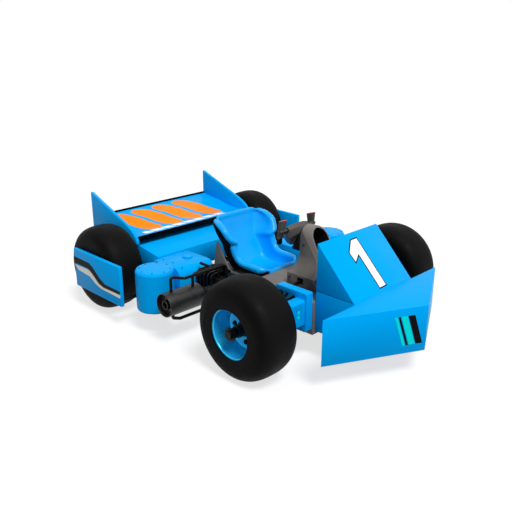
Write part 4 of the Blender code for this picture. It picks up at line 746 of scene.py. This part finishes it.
seat_bm = shell(seat_grid(SEAT_ROWS), 0.0, SEAT_WALL, RIM_COLUMNS)
seat = piece("seat_moulding", seat_bm, seat_blue, "root", 60)
seat.data.materials.append(backing)
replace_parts(seat, "seat")
back_grid = [row[RIM_COLUMNS:-RIM_COLUMNS] for row in seat_grid(SEAT_ROWS[3:11])]
back_bm = shell(back_grid, -BACKING_DEPTH, -BACKING_GAP)
back = piece("seat_back_skin", back_bm, backing, "root", 60)
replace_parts(back, "seat_backing")


# Pods: round drums with a lid held by eight bolts

POD_LID_DEPTH, LID_BOLT_RING, LID_BOLT = 0.022, 0.084, (0.0032, 0.0028)
TANK_TOP, TANK_SHIFT, TANK_BOLT = 0.337, 0.2407, (0.0034, 0.0028)


def build_pod(name):
    """A drum with a lid's seam, and eight bolts on the lid."""
    low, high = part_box(f"pod_{name}")
    centre = Vector(((low.x + high.x) / 2, (low.y + high.y) / 2, 0.0))
    radius, top, seam = (high.y - low.y) / 2, high.z, high.z - POD_LID_DEPTH
    profile = [(0.0, low.z), (radius - 0.010, low.z), (radius - 0.004, low.z + 0.0020),
               (radius - 0.001, low.z + 0.0070), (radius, low.z + 0.0130), (radius, seam - 0.0016),
               (radius - 0.0004, seam - 0.0010), (radius - 0.0022, seam - 0.0008),
               (radius - 0.0022, seam + 0.0008), (radius - 0.0004, seam + 0.0010), (radius, seam + 0.0016),
               (radius, top - 0.0136), (radius - 0.0003, top - 0.0126), (radius - 0.0070, top - 0.0012),
               (radius - 0.0080, top - 0.0003), (radius - 0.0095, top), (0.0, top)]
    drum_bm = turned(profile, 112, "Z", closed=False)
    drum = piece(f"drum_{name}", drum_bm, blue, "root", 26, centre)
    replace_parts(drum, f"pod_{name}")
    bolts = bmesh.new()
    for k in range(8):
        angle = math.radians(45 * k)
        place = (LID_BOLT_RING * math.cos(angle), LID_BOLT_RING * math.sin(angle), top)
        bolt(bolts, Vector(place), (0, 0, 1), *LID_BOLT, angle)
    piece(f"lid_bolts_{name}", bolts, bolt_dark, "root", 30, centre)


build_pod("right")
build_pod("left")

bolts = bmesh.new()
for x, y in ((-0.372, 0.443), (-0.292, 0.437), (-0.192, 0.450)):
    bolt(bolts, Vector((x, -y, TANK_TOP)), (0, 0, 1), *TANK_BOLT)
    bolt(bolts, Vector((x + TANK_SHIFT, y, TANK_TOP)), (0, 0, 1), *TANK_BOLT)
piece("tank_bolts", bolts, bolt_dark, "root", 30)


# Silencer, its guards and the gear lever

SILENCER_X, SILENCER_Z = -0.0381, 0.2365
SILENCER_BOLT_RING, SILENCER_BOLT = 0.042, (0.0042, 0.0045)
GUARD_BEND, GUARD_HIGH, GUARD_INNER_HIGH, GUARD_LOW = 0.026, 0.372, 0.366, 0.134
LEVER_X, LEVER_Y, LEVER_TOP = -0.012, -0.345, 0.345
ENGINE_TOP, ENGINE_BOLT = 0.300, (0.008, 0.008)

profile = [(0.0, -0.3853), (0.0220, -0.3853), (0.0220, -0.4260), (0.0240, -0.4330), (0.0590, -0.4700),
           (0.0618, -0.4735), (0.0634, -0.4775), (0.0636, -0.4810), (0.0636, -0.5488), (0.0626, -0.5494),
           (0.0626, -0.5508), (0.0636, -0.5514), (0.0636, -0.6970), (0.0630, -0.6990), (0.0616, -0.7000),
           (0.0596, -0.7000), (0.0586, -0.6985), (0.0586, -0.6700), (0.0250, -0.6700), (0.0240, -0.6710),
           (0.0240, -0.6930), (0.0235, -0.6940), (0.0205, -0.6940), (0.0200, -0.6930), (0.0200, -0.6400),
           (0.0, -0.6400)]
can = piece("silencer_can", turned(profile, 112, closed=False), steel, "root", 24,
            (SILENCER_X, 0.0, SILENCER_Z))
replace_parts(can, "silencer")
bolts = bmesh.new()
for degrees in (-55, 65, 185):
    angle = math.radians(degrees)
    place = (SILENCER_X + SILENCER_BOLT_RING * math.cos(angle), -0.6698,
             SILENCER_Z + SILENCER_BOLT_RING * math.sin(angle))
    bolt(bolts, Vector(place), (0, -1, 0), *SILENCER_BOLT)
piece("silencer_bolts", bolts, frame_black, "root", 30)

ahead = SILENCER_X + 0.048
inner = SILENCER_X + 0.018
guard = bmesh.new()
outer_path = [
    (SILENCER_X, -0.650, 0.3007), (SILENCER_X, -0.650, GUARD_HIGH), (SILENCER_X, -0.626, GUARD_HIGH),
    (ahead, -0.598, GUARD_HIGH), (ahead, -0.310, GUARD_HIGH), (ahead, -0.310, 0.3003)]
inner_path = [
    (inner, -0.521, 0.3005), (inner, -0.521, GUARD_INNER_HIGH), (inner, -0.300, GUARD_INNER_HIGH),
    (inner, -0.300, 0.3003)]
tube(guard, rounded(outer_path, GUARD_BEND), 0.008)
tube(guard, rounded(inner_path, GUARD_BEND), 0.008)
tube(guard, [Vector((inner, -0.410, GUARD_INNER_HIGH)), Vector((ahead, -0.410, GUARD_HIGH))], 0.006)
upper = piece("guard_tube_upper", guard, frame_black, "root", 50)
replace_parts(upper, "silencer_guard_upper")

lower_path = [(-0.645, 0.1723), (-0.645, 0.150), (-0.600, GUARD_LOW), (-0.4403, GUARD_LOW), (-0.4053, 0.180),
              (-0.3853, 0.180)]
guard = tube(bmesh.new(), rounded([(SILENCER_X, y, z) for y, z in lower_path], GUARD_BEND), 0.009)
lower = piece("guard_tube_lower", guard, frame_black, "root", 50)
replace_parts(lower, "silencer_guard_lower")

lever_path = [(LEVER_X, LEVER_Y, 0.3003), (LEVER_X, LEVER_Y, LEVER_TOP), (-0.163, LEVER_Y, LEVER_TOP)]
stick = tube(bmesh.new(), rounded(lever_path, 0.014), 0.008)
lever = piece("lever_tube", stick, frame_black, "root", 50)
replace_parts(lever, "gear_lever")

bolts = bmesh.new()
for x, y in ((-0.004, -0.262), (0.046, -0.345), (0.046, -0.262)):
    bolt(bolts, Vector((x, y, ENGINE_TOP)), (0, 0, 1), *ENGINE_BOLT)
piece("engine_bolts", bolts, steel, "root", 30)


# Steering: the tower's bolts, the yoke's block and the red caps on the grips

TOWER_BOLT = (0.0050, 0.0045)
bolts = bmesh.new()
for side in (-1, 1):
    bolt(bolts, Vector((0.3442, side * 0.0652, 0.5037)), (0, side, 0.03), *TOWER_BOLT)
    bolt(bolts, Vector((0.3370, side * 0.1600, 0.3550)), (0, side, 0), *TOWER_BOLT)
piece("tower_bolts", bolts, steel, "root", 30)

# The yoke's block, in rings along the column: station, then half widths and heights across it
YOKE_PIVOT = Vector((0.2295, 0.0, 0.52))
YOKE_ALONG = Vector((0.857167, 0.0, -0.515038))
YOKE_UP = Vector((0.515038, 0.0, 0.857167))
YOKE_RINGS = [
    (-0.026, ((0.040, -0.046), (0.084, 0.022), (0.081, 0.059), (0.040, 0.070))),
    (0.000, ((0.042, -0.048), (0.086, 0.022), (0.082, 0.060), (0.036, 0.066))),
    (0.026, ((0.036, -0.042), (0.076, 0.014), (0.060, 0.032), (0.028, 0.040))),
]


def yoke_block():
    """The faceted block between the grips, round the middle of the bar."""
    bm = bmesh.new()
    rings = []
    for station, half in YOKE_RINGS:
        middle = YOKE_PIVOT + YOKE_ALONG * station
        outline = list(half) + [(-y, height) for y, height in reversed(half)]
        rings.append([bm.verts.new(middle + Vector((0.0, y, 0.0)) + YOKE_UP * height)
                      for y, height in outline])
    for low, high in zip(rings, rings[1:]):
        for k in range(len(low)):
            after = (k + 1) % len(low)
            bm.faces.new((low[k], high[k], high[after], low[after]))
    bm.faces.new(rings[0])
    bm.faces.new(list(reversed(rings[-1])))
    bmesh.ops.recalc_face_normals(bm, faces=bm.faces)
    bmesh.ops.bevel(bm, geom=list(bm.edges), offset=0.0016, segments=2, profile=0.5, affect="EDGES")
    return bm


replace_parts(piece("yoke_block", yoke_block(), yoke_grey, "steering", 12), "yoke_hub")


def grip_cap(side):
    """A thin red cap on a grip's sloped top."""
    bm = bmesh.new()
    depth, width, corner, slope = 0.040, 0.030, 0.008, 0.30
    middle_x, middle_y, middle_z, cover = 0.2395, side * 0.113, 0.622, 1.1
    outline = []
    for turn, (u, v) in enumerate(((1, 1), (-1, 1), (-1, -1), (1, -1))):
        for step in range(6):
            angle = math.radians(90 * turn + 18 * step)
            outline.append(((depth / 2 - corner) * u + corner * math.cos(angle),
                            (width / 2 - corner) * v + corner * math.sin(angle)))
    layers = []
    for height, size in ((0.0003, 1.0), (0.0011, 1.0), (0.0016, 0.94)):
        layers.append([bm.verts.new((middle_x + u * cover * size, middle_y + v * cover * size,
                                     middle_z + slope * u * size + height)) for u, v in outline])
    bm.faces.new(list(reversed(layers[0])))
    bm.faces.new(layers[-1])
    for low, high in zip(layers, layers[1:]):
        for k in range(len(outline)):
            after = (k + 1) % len(outline)
            bm.faces.new((low[k], low[after], high[after], high[k]))
    return bm


for name, side in SIDES:
    piece(f"grip_cap_{name}", grip_cap(side), red, "steering", 30)


# Painted shapes: a number, bars near the plough's tip, two bands on each guard, the nose's seam

FAIRING_TOP = Vector((0.5808, 0.0, 0.608))
FAIRING_DOWN = Vector((0.6882, 0.0, -0.7254))
FAIRING_OUT = (0.7254, 0.0, 0.6882)


def on_fairing(outline):
    return [FAIRING_TOP + FAIRING_DOWN * down + Vector((0.0, y, 0.0)) for y, down in outline]


def grown(outline, gap):
    """A loop of flat points moved outward by a gap."""
    points = [Vector(point) for point in outline]
    area = sum(a.x * b.y - b.x * a.y for a, b in zip(points, points[1:] + points[:1]))
    turn = 1 if area > 0 else -1
    moved = []
    for k, here in enumerate(points):
        into = (here - points[k - 1]).normalized()
        out = (points[(k + 1) % len(points)] - here).normalized()
        first = Vector((into.y, -into.x)) * turn
        second = Vector((out.y, -out.x)) * turn
        moved.append(here + (first + second) * (gap / (1 + first.dot(second))))
    return [tuple(point) for point in moved]


ONE = [(0.031, 0.040), (0.036, 0.312), (-0.014, 0.314), (-0.019, 0.118), (-0.068, 0.150), (-0.074, 0.098),
       (-0.014, 0.040)]
decal("number_edge", [on_fairing(grown(ONE, 0.0065))], FAIRING_OUT, 0.0004, line_black)
decal("number_face", [on_fairing(ONE)], FAIRING_OUT, 0.0008, white)

PLOUGH_BACK = Vector((0.8162, 0.4763))
PLOUGH_TIP = Vector((1.0595, 0.0))


def on_plough(outline, side):
    """(distance back from the tip, height) points on one face of the plough."""
    back = (PLOUGH_BACK - PLOUGH_TIP).normalized()
    points = []
    for distance, height in outline:
        place = PLOUGH_TIP + back * distance
        points.append((place.x, side * place.y, height))
    return points


BAR_LOW, BAR_HIGH, BAR_SLANT = 0.175, 0.325, 0.05


def slanted_bar(start, width):
    end = start + width
    return [(start, BAR_LOW), (end, BAR_LOW), (end + BAR_SLANT, BAR_HIGH), (start + BAR_SLANT, BAR_HIGH)]


for name, side in SIDES:
    outward = (0.8906, side * 0.4549, 0.0)
    dark = [slanted_bar(0.018, 0.036), slanted_bar(0.094, 0.012)]
    light = [slanted_bar(0.058, 0.032), slanted_bar(0.110, 0.014)]
    decal(f"plough_dark_{name}", [on_plough(loop, side) for loop in dark], outward, 0.0005, line_black)
    decal(f"plough_light_{name}", [on_plough(loop, side) for loop in light], outward, 0.0005, aqua)


GUARD_FACE = 0.735


def guard_band(name, top, bottom, finish):
    """A band that runs down along both side guards, in quads between two lines."""
    for title, side in SIDES:
        loops = []
        for k in range(len(top) - 1):
            corners = (top[k], top[k + 1], bottom[k + 1], bottom[k])
            loops.append([(x, side * GUARD_FACE, z) for x, z in corners])
        decal(f"{name}_{title}", loops, (0, side, 0), 0.0005, finish)


guard_band("dark_band",
           [(-0.849, 0.3125), (-0.684, 0.311), (-0.645, 0.291), (-0.579, 0.243), (-0.531, 0.223),
            (-0.385, 0.2215)],
           [(-0.856, 0.273), (-0.701, 0.273), (-0.652, 0.247), (-0.595, 0.208), (-0.5445, 0.198),
            (-0.385, 0.203)],
           line_black)
guard_band("cream_band",
           [(-0.846, 0.263), (-0.680, 0.267), (-0.632, 0.240), (-0.574, 0.206), (-0.385, 0.200)],
           [(-0.806, 0.236), (-0.687, 0.228), (-0.6275, 0.1985), (-0.577, 0.185), (-0.385, 0.1815)], cream)


NOSE_FACE = 0.239
NOSE_SEAM = [(0.5810, 0.3655), (0.8095, 0.3655), (0.8080, 0.3675), (0.5810, 0.3675)]
for title, side in SIDES:
    loop = [(x, side * NOSE_FACE, z) for x, z in NOSE_SEAM]
    decal(f"nose_seam_{title}", [loop], (0, side, 0), 0.0004, seam_blue)


# Floor, light and camera

WHITE = (1.0, 1.0, 1.0, 1.0)
FLOOR_BOUNCE = (0.35, 0.35, 0.35, 1.0)
FLOOR_LIT = (0.34, 0.34, 0.34, 1.0)
FLOOR_GLOW = 0.70
SKY_LIGHT = 0.35
SUN_STRENGTH = 2.59
SUN_WIDTH = math.radians(20)
SUN_TOWARD = (0.417, -0.125, 0.70)
CAMERA_PLACE = (2.41678, -2.49119, 1.56933)
CAMERA_YAW, CAMERA_PITCH = math.radians(44.973), math.radians(19.494)
CAMERA_LENS = 45.09


def larger(tree, first, second):
    made = tree.nodes.new("ShaderNodeMath")
    made.operation = "MAXIMUM"
    tree.links.new(first, made.inputs[0])
    tree.links.new(second, made.inputs[1])
    return made.outputs[0]


def seen_ray(tree):
    """1 for what the camera sees, straight or in a reflection or through glass."""
    path = tree.nodes.new("ShaderNodeLightPath")
    direct = larger(tree, path.outputs["Is Camera Ray"], path.outputs["Is Glossy Ray"])
    return larger(tree, direct, path.outputs["Is Transmission Ray"])


def choose(tree, first, second):
    made = tree.nodes.new("ShaderNodeMixShader")
    tree.links.new(seen_ray(tree), made.inputs["Fac"])
    tree.links.new(first, made.inputs[1])
    tree.links.new(second, made.inputs[2])
    return made.outputs[0]


def build_floor():
    """A pale floor that shows white round the soft shadow, and bounces a plain light."""
    bpy.ops.mesh.primitive_plane_add(size=60.0, location=(0.0, 0.0, 0.0))
    floor = bpy.context.object
    floor.name = "floor"
    shader = Shader("floor_white")
    tree = shader.tree
    tree.nodes.remove(shader.principled)
    bounce = tree.nodes.new("ShaderNodeBsdfDiffuse")
    bounce.inputs["Color"].default_value = FLOOR_BOUNCE
    lit = tree.nodes.new("ShaderNodeBsdfDiffuse")
    lit.inputs["Color"].default_value = FLOOR_LIT
    glow = tree.nodes.new("ShaderNodeEmission")
    glow.inputs["Color"].default_value = WHITE
    glow.inputs["Strength"].default_value = FLOOR_GLOW
    shown = tree.nodes.new("ShaderNodeAddShader")
    tree.links.new(lit.outputs[0], shown.inputs[0])
    tree.links.new(glow.outputs[0], shown.inputs[1])
    tree.links.new(choose(tree, bounce.outputs[0], shown.outputs[0]), shader.output.inputs["Surface"])
    floor.data.materials.append(shader.material)


def build_world():
    world = bpy.data.worlds.new("studio")
    bpy.context.scene.world = world
    world.use_nodes = True
    tree = world.node_tree
    tree.nodes.clear()
    output = tree.nodes.new("ShaderNodeOutputWorld")
    light = tree.nodes.new("ShaderNodeBackground")
    light.inputs["Color"].default_value = WHITE
    light.inputs["Strength"].default_value = SKY_LIGHT
    shown = tree.nodes.new("ShaderNodeBackground")
    shown.inputs["Color"].default_value = WHITE
    shown.inputs["Strength"].default_value = 1.0
    tree.links.new(choose(tree, light.outputs[0], shown.outputs[0]), output.inputs["Surface"])


def build_sun():
    data = bpy.data.lights.new("key", "SUN")
    data.energy = SUN_STRENGTH
    data.angle = SUN_WIDTH
    obj = bpy.data.objects.new("key", data)
    obj.rotation_mode = "QUATERNION"
    obj.rotation_quaternion = Vector(SUN_TOWARD).to_track_quat("Z", "Y")
    bpy.context.scene.collection.objects.link(obj)


def build_camera():
    data = bpy.data.cameras.new("camera")
    data.lens = CAMERA_LENS
    data.sensor_width = 36.0
    data.clip_end = 100.0
    camera = bpy.data.objects.new("camera", data)
    camera.location = CAMERA_PLACE
    level = math.cos(CAMERA_PITCH)
    forward = Vector((-math.sin(CAMERA_YAW) * level, math.cos(CAMERA_YAW) * level, -math.sin(CAMERA_PITCH)))
    camera.rotation_mode = "QUATERNION"
    camera.rotation_quaternion = forward.to_track_quat("-Z", "Y")
    bpy.context.scene.collection.objects.link(camera)
    bpy.context.scene.camera = camera


build_floor()
build_world()
build_sun()
build_camera()
bpy.context.scene.view_settings.view_transform = "Standard"
